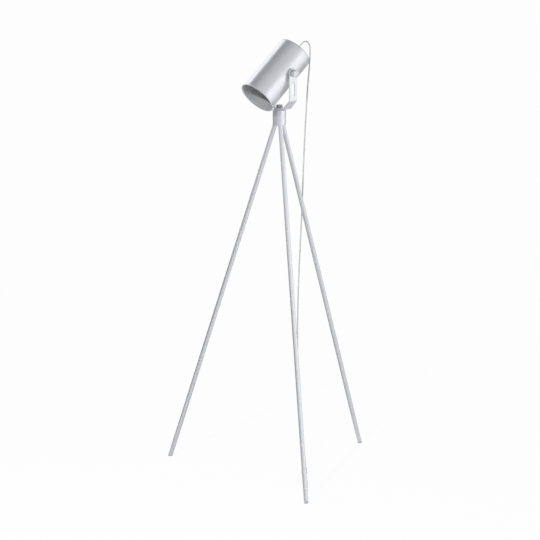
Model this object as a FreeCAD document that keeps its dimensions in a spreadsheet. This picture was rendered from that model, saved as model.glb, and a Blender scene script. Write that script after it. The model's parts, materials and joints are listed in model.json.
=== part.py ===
import FreeCAD, Part
import math
import os

import Sketcher
from FreeCAD import Placement, Rotation, Vector

# Tripod spotlight floor lamp, in millimetres, +Z up, standing on the floor at Z = 0.
# The front foot points to -Y. The origin is the centre of the stance's bounding box.
# The hub's axis stands a quarter of the foot circle's radius behind the origin.

doc = FreeCAD.newDocument("tripod_spotlight_floor_lamp")
sheet = doc.addObject("Spreadsheet::Sheet", "dims")

SIZES = [
    # stance
    ("foot_circle_radius", 422),
    ("leg_meeting_height", 1320),
    ("leg_tube_diameter", 16),
    ("leg_tube_wall", 1.2),
    ("leg_top_distance", 34),
    ("foot_cap_height", 5.5),
    ("foot_plug_length", 18),
    ("leg_stud_diameter", 8),
    ("leg_stud_reach", 12),
    ("leg_insert_length", 20),
    # hub and swivel
    ("hub_diameter", 48),
    ("hub_bottom_drop", 51.5),
    ("hub_length", 55.8),
    ("hub_bottom_chamfer", 3.5),
    ("hub_top_chamfer", 1),
    ("swivel_disc_diameter", 39),
    ("swivel_disc_thickness", 5),
    ("swivel_bolt_diameter", 12),
    ("swivel_bolt_depth", 18),
    ("swivel_head_across_flats", 19),
    ("swivel_head_height", 7),
    ("swivel_washer_diameter", 26),
    ("swivel_washer_thickness", 1.8),
    # yoke
    ("yoke_turn", -63.3),
    ("yoke_bar_width", 34),
    ("yoke_bar_thickness", 4),
    ("yoke_side_clearance", 8),
    ("yoke_corner_run", 34),
    ("yoke_bend_radius", 2),
    ("pivot_rise", 133.2),
    ("pivot_screw_diameter", 6),
    ("slot_width", 13),
    ("slot_length", 44),
    ("slot_top_drop", 37),
    ("index_hole_diameter", 4.5),
    ("index_hole_drop", 33),
    # tilt knobs
    ("knob_diameter", 26),
    ("knob_length", 15),
    ("knob_chamfer", 1),
    ("knob_recess_depth", 1.2),
    ("knob_washer_diameter", 18),
    ("knob_washer_thickness", 1.2),
    # head
    ("head_tilt", 40.4),
    ("shade_diameter", 128),
    ("shade_wall", 1.2),
    ("shade_front_length", 135),
    ("shade_back_length", 93.3),
    ("rim_bead_diameter", 3.8),
    ("cap_rim_height", 3),
    ("cap_plate_thickness", 1.4),
    ("cap_spigot_depth", 10),
    ("vent_length", 15),
    ("vent_width", 4),
    ("vent_circle_radius", 42),
    ("vent_count", 12),
    ("bush_diameter", 16),
    ("bush_neck_diameter", 10),
    ("bush_flange_diameter", 18),
    ("bush_flange_thickness", 2),
    # lamp holder and its threaded tube
    ("threaded_tube_diameter", 10),
    ("threaded_tube_bore", 7),
    ("threaded_tube_outside", 9),
    ("threaded_tube_inside", 20),
    ("lock_nut_across_flats", 14),
    ("lock_nut_height", 3),
    ("holder_neck_diameter", 20),
    ("holder_dome_length", 24),
    ("holder_barrel_diameter", 40),
    ("holder_barrel_length", 34),
    ("holder_wall", 2),
    ("bulb_cap_diameter", 26.4),
    ("bulb_cap_length", 24),
    ("bulb_diameter", 60),
    ("bulb_housing_length", 44),
    ("bulb_dome_length", 36),
    # cord, its grip, switch, tie and plug
    ("cord_diameter", 5),
    ("cord_grip_length", 26),
    ("cord_grip_diameter", 15),
    ("cord_grip_tip_diameter", 8),
    ("landing_x", 93.9),
    ("landing_y", 99.6),
    ("landing_turn", -102.5),
    ("switch_length", 58),
    ("switch_width", 21),
    ("switch_half_height", 6.5),
    ("switch_boot_length", 8),
    ("rocker_length", 20),
    ("rocker_width", 12),
    ("rocker_tilt", 7),
    ("rocker_pin_height", 2.2),
    ("hank_distance", 84),
    ("hank_run", 85),
    ("hank_fold_radius", 16),
    ("hank_pitch", 5.6),
    ("hank_turns", 2),
    ("hank_waist_draw", 8),
    ("tie_width", 10),
    ("tie_thickness", 1.2),
    ("plug_distance", 62),
    ("plug_width", 35),
    ("plug_thickness", 13.6),
    ("plug_length", 36),
    ("plug_relief_length", 22),
    ("pin_diameter", 4),
    ("pin_length", 19),
    ("pin_spacing", 18.8),
    ("pin_sleeve_length", 10),
    # clearances
    ("fixed_gap", 0.1),
    ("running_gap", 0.05),
    ("seat_gap", 0.3),
    ("floor_gap", 0.3),
]
for row, (alias, value) in enumerate(SIZES, start=1):
    sheet.set(f"A{row}", alias)
    sheet.set(f"B{row}", str(value))
    sheet.setAlias(f"B{row}", alias)
doc.recompute()


def size(alias):
    """One driving dimension's number, for the shapes that no expression can drive."""
    return float(getattr(sheet, alias))


def worked(expression):
    """The number that an expression on the sheet gives now."""
    value = sheet.evalExpression(expression)
    return float(getattr(value, "Value", value))


# ---------------------------------------------------------------- worked-out lengths, as expressions

HUB_Y = "dims.foot_circle_radius / 4"
LEG_ANGLE = "atan(dims.foot_circle_radius / dims.leg_meeting_height)"
LEG_FLOOR = f"dims.leg_meeting_height / cos({LEG_ANGLE})"
LEG_END = f"({LEG_FLOOR} - dims.foot_cap_height)"
TUBE_BORE_RADIUS = "(dims.leg_tube_diameter / 2 - dims.leg_tube_wall)"
HUB_BOTTOM = "(dims.leg_meeting_height - dims.hub_bottom_drop)"
HUB_TOP = f"({HUB_BOTTOM} + dims.hub_length)"
YOKE_Z = f"({HUB_TOP} + dims.swivel_disc_thickness + 2 * dims.fixed_gap)"
PIVOT_Z = f"({YOKE_Z} + dims.pivot_rise)"
BOLT_SEAT_Z = f"({YOKE_Z} + dims.yoke_bar_thickness + dims.fixed_gap)"
SHADE_RADIUS = "dims.shade_diameter / 2"
ARM_INSIDE = f"({SHADE_RADIUS} + dims.yoke_side_clearance)"
ARM_OUTSIDE = f"({ARM_INSIDE} + dims.yoke_bar_thickness)"
SHADE_BORE_RADIUS = "(dims.shade_diameter / 2 - dims.shade_wall)"
PLATE_BACK = "dims.shade_back_length"
PLATE_FRONT = "(dims.shade_back_length - dims.cap_plate_thickness)"
SHELL_END = "(dims.shade_back_length - dims.cap_rim_height)"
HOLDER_TOP = f"({PLATE_FRONT} - dims.lock_nut_height - dims.fixed_gap * 2 - 4)"
HOLDER_SEAM = f"({HOLDER_TOP} - dims.holder_dome_length)"
HOLDER_MOUTH = f"({HOLDER_SEAM} - dims.holder_barrel_length)"
BULB_SEAT = f"({HOLDER_SEAM} - 3)"
BULB_SHOULDER = f"({BULB_SEAT} - dims.bulb_cap_length)"
BULB_BELT = f"({BULB_SHOULDER} - dims.bulb_housing_length)"
SWITCH_END = "(dims.switch_length / 2)"
BOOT_END = f"({SWITCH_END} + dims.switch_boot_length)"
PLUG_START = "(dims.hank_distance + dims.hank_run + dims.plug_distance)"

UPRIGHT = "rotation(vector(0; 0; 1); 0deg)"
YOKE_ROTATION = "rotation(vector(0; 0; 1); dims.yoke_turn * 1deg)"
HEAD_ROTATION = f"{YOKE_ROTATION} * rotation(vector(1; 0; 0); (dims.head_tilt - 90) * 1deg)"


def place(x, y, z, rotation=UPRIGHT):
    """An expression for a placement at x, y, z with that rotation."""
    return f"placement(vector({x}; {y}; {z}); {rotation})"


def on_hub_axis(z, rotation=UPRIGHT):
    return place("0", HUB_Y, z, rotation)


IN_HEAD = on_hub_axis(PIVOT_Z, HEAD_ROTATION)
SIDES = {"right": "90deg", "left": "-90deg"}
LEGS = {"front": "-90deg", "right": "30deg", "left": "150deg"}


def on_tilt_axis(side):
    """Local Z points outwards along the tilt axis, to that side's arm."""
    return on_hub_axis(PIVOT_Z, f"{YOKE_ROTATION} * rotation(vector(0; 1; 0); {SIDES[side]})")


def along_leg(leg):
    """Local Z points down the leg's axis, from the point where the three axes meet."""
    turn = f"rotation(vector(0; 0; 1); {LEGS[leg]})"
    lean = f"rotation(vector(0; 1; 0); 180deg - {LEG_ANGLE})"
    return on_hub_axis("dims.leg_meeting_height", f"{turn} * {lean}")


# ---------------------------------------------------------------- makers

NODES = {}


def keep(node, made):
    """Name a finished sub-part. Its label is its file's name."""
    made.Label = node
    NODES[node] = made
    return made


def origin_plane(body, role):
    return next(f for f in body.Origin.OriginFeatures if f.Role == role)


def new_body(name, placement):
    body = doc.addObject("PartDesign::Body", name)
    body.setExpression("Placement", placement)
    return body


def new_sketch(body, name, role="XZ_Plane"):
    sketch = body.newObject("Sketcher::SketchObject", name)
    sketch.AttachmentSupport = [(origin_plane(body, role), "")]
    sketch.MapMode = "FlatFace"
    return sketch


def outline(sketch, corners):
    """A closed outline of straight edges. Each corner is two expressions, bound to the sheet."""
    values = [(worked(x), worked(y)) for x, y in corners]
    first = sketch.GeometryCount
    for n, (x, y) in enumerate(values):
        next_x, next_y = values[(n + 1) % len(values)]
        sketch.addGeometry(Part.LineSegment(Vector(x, y, 0), Vector(next_x, next_y, 0)), False)
    for n in range(len(values)):
        following = first + (n + 1) % len(values)
        sketch.addConstraint(Sketcher.Constraint("Coincident", first + n, 2, following, 1))
    for n, corner in enumerate(corners):
        for kind, other_axis, expression, value in (
            ("DistanceX", -2, corner[0], values[n][0]),
            ("DistanceY", -1, corner[1], values[n][1]),
        ):
            if expression == "0":
                on_axis = Sketcher.Constraint("PointOnObject", first + n, 1, other_axis)
                sketch.addConstraint(on_axis)
                continue
            fixed = Sketcher.Constraint(kind, -1, 1, first + n, 1, value)
            sketch.setExpression(f"Constraints[{sketch.addConstraint(fixed)}]", expression)


def circle(sketch, x, y, radius):
    """A circle whose centre and radius are expressions."""
    centre = Vector(worked(x), worked(y), 0)
    n = sketch.addGeometry(Part.Circle(centre, Vector(0, 0, 1), worked(radius)), False)
    for kind, other_axis, expression, value in (
        ("DistanceX", -2, x, centre.x),
        ("DistanceY", -1, y, centre.y),
    ):
        if expression == "0":
            sketch.addConstraint(Sketcher.Constraint("PointOnObject", n, 3, other_axis))
            continue
        fixed = Sketcher.Constraint(kind, -1, 1, n, 3, value)
        sketch.setExpression(f"Constraints[{sketch.addConstraint(fixed)}]", expression)
    wide = sketch.addConstraint(Sketcher.Constraint("Radius", n, worked(radius)))
    sketch.setExpression(f"Constraints[{wide}]", radius)


def turned(name, placement, corners):
    """A body turned about local Z from a closed outline of (radius, height) corners."""
    body = new_body(name, placement)
    profile = new_sketch(body, f"{name}_profile")
    outline(profile, corners)
    turn = body.newObject("PartDesign::Revolution", f"{name}_turn")
    turn.Profile = profile
    turn.ReferenceAxis = (profile, ["V_Axis"])
    turn.Angle = 360
    doc.recompute()
    return body


def ring(name, placement, inner, outer, low, high):
    """A plain washer or sleeve from low to high."""
    corners = [(inner, low), (outer, low), (outer, high), (inner, high)]
    return turned(name, placement, corners)


def padded(name, placement, corners, length, role="XZ_Plane", both_ways=True):
    """A body pushed out of a closed outline."""
    body = new_body(name, placement)
    profile = new_sketch(body, f"{name}_profile", role)
    outline(profile, corners)
    pad = body.newObject("PartDesign::Pad", f"{name}_pad")
    pad.Profile = profile
    pad.setExpression("Length", length)
    pad.Midplane = both_ways
    doc.recompute()
    return body


def pocket(body, name, draw, role, reach=None):
    """Cut what draw(sketch) draws on that plane, both ways, through all or to reach."""
    before = body.Shape.Volume
    sketch = new_sketch(body, f"{name}_sketch", role)
    draw(sketch)
    cut = body.newObject("PartDesign::Pocket", name)
    cut.Profile = sketch
    cut.Midplane = True
    if reach is None:
        cut.Type = "ThroughAll"
    else:
        cut.setExpression("Length", reach)
    doc.recompute()
    if not body.Shape.Volume < before:
        raise RuntimeError(f"{name} cuts nothing")
    return cut


def edges_where(shape, wanted):
    """The names of the edges for which wanted(edge) is true."""
    return [f"Edge{n}" for n, edge in enumerate(shape.Edges, start=1) if wanted(edge)]


def soften(body, name, kind, amount, wanted):
    """A fillet or chamfer on the tip's edges for which wanted(edge) is true."""
    tip = body.Tip
    softened = body.newObject(f"PartDesign::{kind}", name)
    softened.Base = (tip, edges_where(tip.Shape, wanted))
    softened.setExpression("Radius" if kind == "Fillet" else "Size", amount)
    doc.recompute()
    return softened


def round_at(height, radius=None):
    """A test for the round edge at that local height, and at that radius if one is given."""

    def wanted(edge):
        curve = edge.Curve
        if not isinstance(curve, Part.Circle) or abs(curve.Center.z - height) > 0.01:
            return False
        return radius is None or abs(curve.Radius - radius) < 0.01

    return wanted


def runs_along(direction):
    """A test for straight edges that run along that direction."""

    def wanted(edge):
        if not isinstance(edge.Curve, Part.Line):
            return False
        return abs(abs(edge.Curve.Direction.dot(direction)) - 1) < 1e-6

    return wanted


def group(node, members):
    """Separate like solids in one node."""
    joined = doc.addObject("Part::Compound", f"{node}_group")
    joined.Links = members
    doc.recompute()
    return keep(node, joined)


def hexagon(across_flats):
    """The corners of a hexagon, as expressions."""
    corners = []
    for n in range(6):
        reach = f"{across_flats} / (2 * cos(30deg))"
        corners.append((f"{reach} * cos({60 * n}deg)", f"{reach} * sin({60 * n}deg)"))
    corners[0] = (corners[0][0], "0")
    corners[3] = (corners[3][0], "0")
    return corners


def hex_prism(name, placement, across_flats, height, bore=None):
    """A hexagon pushed up by height, with a round bore through it where one is given."""
    body = new_body(name, placement)
    sketch = new_sketch(body, f"{name}_outline", "XY_Plane")
    outline(sketch, hexagon(across_flats))
    if bore:
        circle(sketch, "0", "0", bore)
    pad = body.newObject("PartDesign::Pad", f"{name}_pad")
    pad.Profile = sketch
    pad.setExpression("Length", height)
    doc.recompute()
    return body


def cylinder(name, placement, radius, height):
    made = doc.addObject("Part::Cylinder", name)
    made.setExpression("Radius", radius)
    made.setExpression("Height", height)
    made.setExpression("Placement", placement)
    return made


# ---------------------------------------------------------------- tripod: legs, feet and hub


def make_legs():
    """Three straight steel tubes, each with a welded-in threaded insert and a plastic foot."""
    studs = []
    for leg in LEGS:
        placement = along_leg(leg)
        tube = ring(
            f"{leg}_tube",
            placement,
            TUBE_BORE_RADIUS,
            "dims.leg_tube_diameter / 2",
            "dims.leg_top_distance",
            LEG_END,
        )
        keep(f"leg_{leg}", tube)
        stud_radius = "dims.leg_stud_diameter / 2"
        plug_radius = f"({TUBE_BORE_RADIUS} - dims.fixed_gap)"
        stud_end = "(dims.leg_top_distance - dims.leg_stud_reach)"
        plug_end = "(dims.leg_top_distance + dims.leg_insert_length)"
        studs.append(
            turned(
                f"{leg}_insert",
                placement,
                [
                    ("0", stud_end),
                    (f"({stud_radius} - 0.8)", stud_end),
                    (stud_radius, f"({stud_end} + 0.8)"),
                    (stud_radius, "dims.leg_top_distance"),
                    (plug_radius, "dims.leg_top_distance"),
                    (plug_radius, plug_end),
                    ("0", plug_end),
                ],
            )
        )
        make_foot(leg, placement, plug_radius)
    group("leg_inserts", studs)


def make_foot(leg, placement, plug_radius):
    """A ribbed plastic plug with a short end of the tube's own width, cut level by the floor."""
    low = f"({LEG_FLOOR} + 5)"
    seat = f"({LEG_END} + dims.fixed_gap)"
    rib = f"({plug_radius} - 0.6)"
    first_rib = f"({seat} - dims.foot_plug_length * 0.3)"
    second_rib = f"({seat} - dims.foot_plug_length * 0.65)"
    corners = [
        ("0", f"({seat} - dims.foot_plug_length)"),
        (rib, f"({seat} - dims.foot_plug_length)"),
        (rib, f"({second_rib} - 1.5)"),
        (plug_radius, second_rib),
        (rib, second_rib),
        (rib, f"({first_rib} - 1.5)"),
        (plug_radius, first_rib),
        (rib, first_rib),
        (rib, seat),
        ("dims.leg_tube_diameter / 2", seat),
        ("dims.leg_tube_diameter / 2", f"({low} - 1.2)"),
        ("dims.leg_tube_diameter / 2 - 1.2", low),
        ("0", low),
    ]
    foot = turned(f"{leg}_foot", placement, corners)
    wide = "dims.leg_tube_diameter"
    slope = f"dims.foot_circle_radius / dims.leg_meeting_height * {wide}"

    def below_floor(sketch):
        corners = [
            (f"-{wide}", f"({LEG_FLOOR} + {slope})"),
            (wide, f"({LEG_FLOOR} - {slope})"),
            (wide, f"({LEG_FLOOR} + 3 * {wide})"),
            (f"-{wide}", f"({LEG_FLOOR} + 3 * {wide})"),
        ]
        outline(sketch, corners)

    pocket(foot, f"{leg}_foot_level", below_floor, "XZ_Plane")
    keep(f"foot_{leg}", foot)


def make_hub():
    """A turned hub with three leaning sockets below and a threaded hole for the swivel bolt."""
    outer = "dims.hub_diameter / 2"
    bolt_hole = "(dims.swivel_bolt_diameter / 2 + dims.running_gap)"
    hole_bottom = f"(dims.hub_length - dims.swivel_bolt_depth - 2)"
    blank = turned(
        "hub_blank",
        on_hub_axis(HUB_BOTTOM),
        [
            ("0", "0"),
            (f"({outer} - dims.hub_bottom_chamfer)", "0"),
            (outer, "dims.hub_bottom_chamfer"),
            (outer, f"(dims.hub_length - dims.hub_top_chamfer)"),
            (f"({outer} - dims.hub_top_chamfer)", "dims.hub_length"),
            (bolt_hole, "dims.hub_length"),
            (bolt_hole, hole_bottom),
            ("0", hole_bottom),
        ],
    )
    solid = blank
    for leg in LEGS:
        placement = along_leg(leg)
        socket = cylinder(
            f"{leg}_socket_cutter",
            f"{placement} * {place('0', '0', 'dims.leg_top_distance - dims.fixed_gap')}",
            "dims.leg_tube_diameter / 2 + dims.fixed_gap",
            "dims.leg_tube_diameter * 6",
        )
        stud_start = "dims.leg_top_distance - dims.leg_stud_reach - 1"
        thread = cylinder(
            f"{leg}_thread_cutter",
            f"{placement} * {place('0', '0', stud_start)}",
            "dims.leg_stud_diameter / 2 + dims.running_gap",
            "dims.leg_stud_reach + 2",
        )
        for tool in (socket, thread):
            cut = doc.addObject("Part::Cut", f"hub_less_{tool.Name}")
            cut.Base = solid
            cut.Tool = tool
            solid = cut
    doc.recompute()
    keep("hub", solid)


def make_swivel():
    """A disc between hub and yoke, and the bolt and washer that hold the yoke down on it."""
    bore = "(dims.swivel_bolt_diameter / 2 + dims.running_gap)"
    disc = turned(
        "disc",
        on_hub_axis(f"{HUB_TOP} + dims.fixed_gap"),
        [
            (bore, "0"),
            ("dims.swivel_disc_diameter / 2", "0"),
            ("dims.swivel_disc_diameter / 2", "(dims.swivel_disc_thickness - 0.8)"),
            ("(dims.swivel_disc_diameter / 2 - 0.8)", "dims.swivel_disc_thickness"),
            (bore, "dims.swivel_disc_thickness"),
        ],
    )
    keep("swivel_disc", disc)
    washer = ring(
        "washer",
        on_hub_axis(BOLT_SEAT_Z),
        bore,
        "dims.swivel_washer_diameter / 2",
        "0",
        "dims.swivel_washer_thickness",
    )
    keep("swivel_washer", washer)
    head_z = f"({BOLT_SEAT_Z} + dims.swivel_washer_thickness + dims.fixed_gap)"
    head = hex_prism(
        "swivel_bolt_body",
        on_hub_axis(head_z, YOKE_ROTATION),
        "dims.swivel_head_across_flats",
        "dims.swivel_head_height",
    )
    shank_length = f"({head_z} - {HUB_TOP} + dims.swivel_bolt_depth)"
    sketch = new_sketch(head, "swivel_shank_sketch", "XY_Plane")
    circle(sketch, "0", "0", "dims.swivel_bolt_diameter / 2")
    shank = head.newObject("PartDesign::Pad", "swivel_shank")
    shank.Profile = sketch
    shank.setExpression("Length", shank_length)
    shank.Reversed = True
    doc.recompute()
    # the head's top corners are turned off at 30 degrees, as on any hexagon bolt
    corner = "dims.swivel_head_across_flats / (2 * cos(30deg))"
    flat = "dims.swivel_head_across_flats / 2"
    drop = f"({corner} + 1 - {flat}) * tan(30deg)"

    def corner_ring(sketch):
        outline(
            sketch,
            [
                (flat, "dims.swivel_head_height"),
                (f"{corner} + 1", f"dims.swivel_head_height - {drop}"),
                (f"{corner} + 1", "dims.swivel_head_height + 1"),
                (flat, "dims.swivel_head_height + 1"),
            ],
        )

    sketch = new_sketch(head, "swivel_corner_sketch")
    corner_ring(sketch)
    groove = head.newObject("PartDesign::Groove", "swivel_corner_groove")
    groove.Profile = sketch
    groove.ReferenceAxis = (sketch, ["V_Axis"])
    groove.Angle = 360
    doc.recompute()
    keep("swivel_bolt", head)


# ---------------------------------------------------------------- yoke


def make_yoke():
    """One flat bar bent to a base, two 45 degree corners and two upright arms with round ends."""
    half = ARM_OUTSIDE
    run = "dims.yoke_corner_run"
    thick = "dims.yoke_bar_thickness"
    step = f"{thick} * tan(22.5deg)"
    base = f"({half} - {run})"
    top = "(dims.pivot_rise + dims.yoke_bar_width / 2)"
    right = [
        (base, "0"),
        (half, run),
        (half, top),
        (ARM_INSIDE, top),
        (ARM_INSIDE, f"({run} + {step})"),
        (f"({base} - {step})", thick),
    ]
    left = [(f"-{x}", y) for x, y in reversed(right)]
    yoke = padded("yoke_bar", on_hub_axis(YOKE_Z, YOKE_ROTATION), right + left, "dims.yoke_bar_width")
    high = worked(top)

    def arm_corner(edge):
        along_bar = runs_along(Vector(1, 0, 0))(edge)
        return along_bar and abs(edge.CenterOfMass.z - high) < 0.01

    soften(yoke, "arm_round_ends", "Fillet", "dims.yoke_bar_width / 2 - 0.01", arm_corner)
    low, lift = worked(base), worked(run)

    def outer_bend(edge):
        across = runs_along(Vector(0, 1, 0))(edge)
        middle = edge.CenterOfMass
        at_base = abs(abs(middle.x) - low) < 0.01 and abs(middle.z) < 0.01
        at_arm = abs(abs(middle.x) - worked(half)) < 0.01 and abs(middle.z - lift) < 0.01
        return across and (at_base or at_arm)

    outer_radius = "dims.yoke_bend_radius + dims.yoke_bar_thickness"
    soften(yoke, "outer_bends", "Fillet", outer_radius, outer_bend)
    inner_low, inner_lift = worked(f"{base} - {step}"), worked(f"{run} + {step}")

    def inner_bend(edge):
        across = runs_along(Vector(0, 1, 0))(edge)
        middle = edge.CenterOfMass
        at_base = abs(abs(middle.x) - inner_low) < 0.01 and abs(middle.z - worked(thick)) < 0.01
        at_arm = abs(abs(middle.x) - worked(ARM_INSIDE)) < 0.01
        return across and (at_base or (at_arm and abs(middle.z - inner_lift) < 0.01))

    soften(yoke, "inner_bends", "Fillet", "dims.yoke_bend_radius", inner_bend)

    def arm_holes(sketch):
        pivot_hole = "dims.pivot_screw_diameter / 2 + 4 * dims.running_gap"
        circle(sketch, "0", "dims.pivot_rise", pivot_hole)
        index_height = "dims.pivot_rise - dims.index_hole_drop"
        circle(sketch, "0", index_height, "dims.index_hole_diameter / 2")

    pocket(yoke, "arm_holes", arm_holes, "YZ_Plane")
    slot_top = "(dims.pivot_rise - dims.slot_top_drop)"
    slot_half = "dims.slot_width / 2"

    def slot(sketch):
        outline(
            sketch,
            [
                (f"-{slot_half}", f"({slot_top} - dims.slot_length)"),
                (slot_half, f"({slot_top} - dims.slot_length)"),
                (slot_half, slot_top),
                (f"-{slot_half}", slot_top),
            ],
        )

    pocket(yoke, "arm_slots", slot, "YZ_Plane")
    slot_ends = (worked(slot_top), worked(f"{slot_top} - dims.slot_length"))

    def slot_corner(edge):
        middle = edge.CenterOfMass
        at_end = min(abs(middle.z - z) for z in slot_ends) < 0.01
        inside_bar = abs(abs(middle.y) - worked(slot_half)) < 0.01
        return runs_along(Vector(1, 0, 0))(edge) and at_end and inside_bar

    soften(yoke, "slot_round_ends", "Fillet", "dims.slot_width / 2 - 0.05", slot_corner)

    def bolt_hole(sketch):
        circle(sketch, "0", "0", "dims.swivel_bolt_diameter / 2 + dims.running_gap")

    pocket(yoke, "base_bolt_hole", bolt_hole, "XY_Plane", "dims.yoke_bar_thickness * 4")
    keep("yoke", yoke)


# ---------------------------------------------------------------- tilt pivots


def make_pivots():
    """On each side: a flanged bush in the shade's wall, a screw, a washer and a plain knob."""
    bore = "(dims.pivot_screw_diameter / 2 + dims.running_gap)"
    screw = "dims.pivot_screw_diameter / 2"
    for side in SIDES:
        placement = on_tilt_axis(side)
        flange_top = f"({SHADE_BORE_RADIUS} - 1)"
        flange_low = f"({flange_top} - dims.bush_flange_thickness)"
        shoulder = f"({SHADE_RADIUS} + dims.seat_gap)"
        bush_end = f"({ARM_INSIDE} - dims.fixed_gap)"
        neck = "dims.bush_neck_diameter / 2"
        bush = turned(
            f"{side}_bush_body",
            placement,
            [
                (bore, flange_low),
                ("dims.bush_flange_diameter / 2", flange_low),
                ("dims.bush_flange_diameter / 2", flange_top),
                (neck, flange_top),
                (neck, shoulder),
                ("dims.bush_diameter / 2", shoulder),
                ("dims.bush_diameter / 2", bush_end),
                (bore, bush_end),
            ],
        )
        keep(f"{side}_pivot_bush", bush)
        arm = f"{ARM_OUTSIDE} + dims.fixed_gap"
        washer_top = f"({arm} + dims.knob_washer_thickness)"
        washer = ring(
            f"{side}_knob_washer_body",
            placement,
            bore,
            "dims.knob_washer_diameter / 2",
            arm,
            washer_top,
        )
        keep(f"{side}_knob_washer", washer)
        foot = f"({washer_top} + dims.fixed_gap)"
        face = f"({foot} + dims.knob_length)"
        chamfer = "dims.knob_chamfer"
        wide = "dims.knob_diameter / 2"
        recess = f"({wide} - 3)"
        knob_bore = f"({screw} + dims.fixed_gap)"
        knob = turned(
            f"{side}_knob_body",
            placement,
            [
                (knob_bore, foot),
                (f"({wide} - {chamfer} * 0.5)", foot),
                (wide, f"({foot} + {chamfer} * 0.5)"),
                (wide, f"({face} - {chamfer})"),
                (f"({wide} - {chamfer})", face),
                (recess, face),
                (recess, f"({face} - dims.knob_recess_depth)"),
                ("0", f"({face} - dims.knob_recess_depth)"),
                ("0", f"({face} - dims.knob_recess_depth - 2)"),
                (knob_bore, f"({face} - dims.knob_recess_depth - 2)"),
            ],
        )
        keep(f"{side}_tilt_knob", knob)
        screw_end = f"({flange_low} - 2)"
        screw_top = f"({face} - dims.knob_recess_depth - 2 - dims.fixed_gap)"
        pivot_screw = turned(
            f"{side}_screw_body",
            placement,
            [
                ("0", screw_end),
                (f"({screw} - 0.8)", screw_end),
                (screw, f"({screw_end} + 0.8)"),
                (screw, screw_top),
                ("0", screw_top),
            ],
        )
        keep(f"{side}_pivot_screw", pivot_screw)


# ---------------------------------------------------------------- head: shade, back cap


def make_shade():
    """A thin steel tube whose mouth flares into a rolled bead, bored at each pivot."""
    outer = SHADE_RADIUS
    mouth = "(-dims.shade_front_length)"
    bead = "dims.rim_bead_diameter / 2"
    flare = f"({mouth} + dims.rim_bead_diameter * 2.2)"
    lip = f"({mouth} + {bead})"
    shade = turned(
        "shade_shell",
        IN_HEAD,
        [
            (SHADE_BORE_RADIUS, flare),
            (f"({SHADE_BORE_RADIUS} + 1)", lip),
            (f"({outer} + 1.6)", lip),
            (outer, flare),
            (outer, f"({SHELL_END} - dims.fixed_gap)"),
            (SHADE_BORE_RADIUS, f"({SHELL_END} - dims.fixed_gap)"),
        ],
    )
    bead_sketch = new_sketch(shade, "rim_bead_sketch")
    circle(bead_sketch, f"({outer} + 1.5)", lip, bead)
    roll = shade.newObject("PartDesign::Revolution", "rim_bead")
    roll.Profile = bead_sketch
    roll.ReferenceAxis = (bead_sketch, ["V_Axis"])
    roll.Angle = 360
    doc.recompute()

    def pivot_holes(sketch):
        circle(sketch, "0", "0", "dims.bush_neck_diameter / 2 + dims.fixed_gap")

    pocket(shade, "pivot_holes", pivot_holes, "YZ_Plane")
    keep("shade", shade)


def make_back_cap():
    """A pressed cap: a rim as wide as the shell, a spigot inside it and a ring of heat slots."""
    hole = "(dims.threaded_tube_diameter / 2 + dims.fixed_gap)"
    spigot = f"({SHADE_BORE_RADIUS} - dims.fixed_gap)"
    inside = f"({spigot} - dims.shade_wall)"
    spigot_end = f"({SHELL_END} - dims.cap_spigot_depth)"
    cap = turned(
        "cap_body",
        IN_HEAD,
        [
            (hole, PLATE_FRONT),
            (inside, PLATE_FRONT),
            (inside, spigot_end),
            (spigot, spigot_end),
            (spigot, SHELL_END),
            (SHADE_RADIUS, SHELL_END),
            (SHADE_RADIUS, PLATE_BACK),
            (hole, PLATE_BACK),
        ],
    )
    back_edge = round_at(size("shade_back_length"), size("shade_diameter") / 2)
    soften(cap, "cap_round_rim", "Fillet", "dims.cap_rim_height * 0.6", back_edge)

    def heat_slot(sketch):
        low = "(dims.vent_circle_radius - dims.vent_length / 2)"
        high = "(dims.vent_circle_radius + dims.vent_length / 2)"
        half = "dims.vent_width / 2"
        outline(sketch, [(low, f"-{half}"), (high, f"-{half}"), (high, half), (low, half)])

    before = cap.Shape.Volume
    first = pocket(cap, "heat_slot", heat_slot, "XY_Plane", "dims.shade_back_length * 4")
    ends = ("vent_circle_radius", "vent_length", "vent_width")
    middle, length, width = (size(name) for name in ends)

    def slot_corner(edge):
        point = edge.CenterOfMass
        at_end = abs(abs(point.x - middle) - length / 2) < 0.01
        return runs_along(Vector(0, 0, 1))(edge) and at_end and abs(abs(point.y) - width / 2) < 0.01

    soften(cap, "heat_slot_ends", "Fillet", "dims.vent_width / 2 - 0.05", slot_corner)
    pattern = cap.newObject("PartDesign::PolarPattern", "heat_slots")
    pattern.Originals = [first, cap.getObject("heat_slot_ends")]
    pattern.Axis = (next(f for f in cap.Origin.OriginFeatures if f.Role == "Z_Axis"), [""])
    pattern.Angle = 360
    pattern.setExpression("Occurrences", "dims.vent_count")
    cap.Tip = pattern
    doc.recompute()
    cut_once = width * length * size("cap_plate_thickness")
    if before - cap.Shape.Volume < 0.8 * size("vent_count") * cut_once:
        raise RuntimeError("the back cap lacks its heat slots")
    keep("back_cap", cap)


# ---------------------------------------------------------------- head: what holds and lights the bulb


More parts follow.
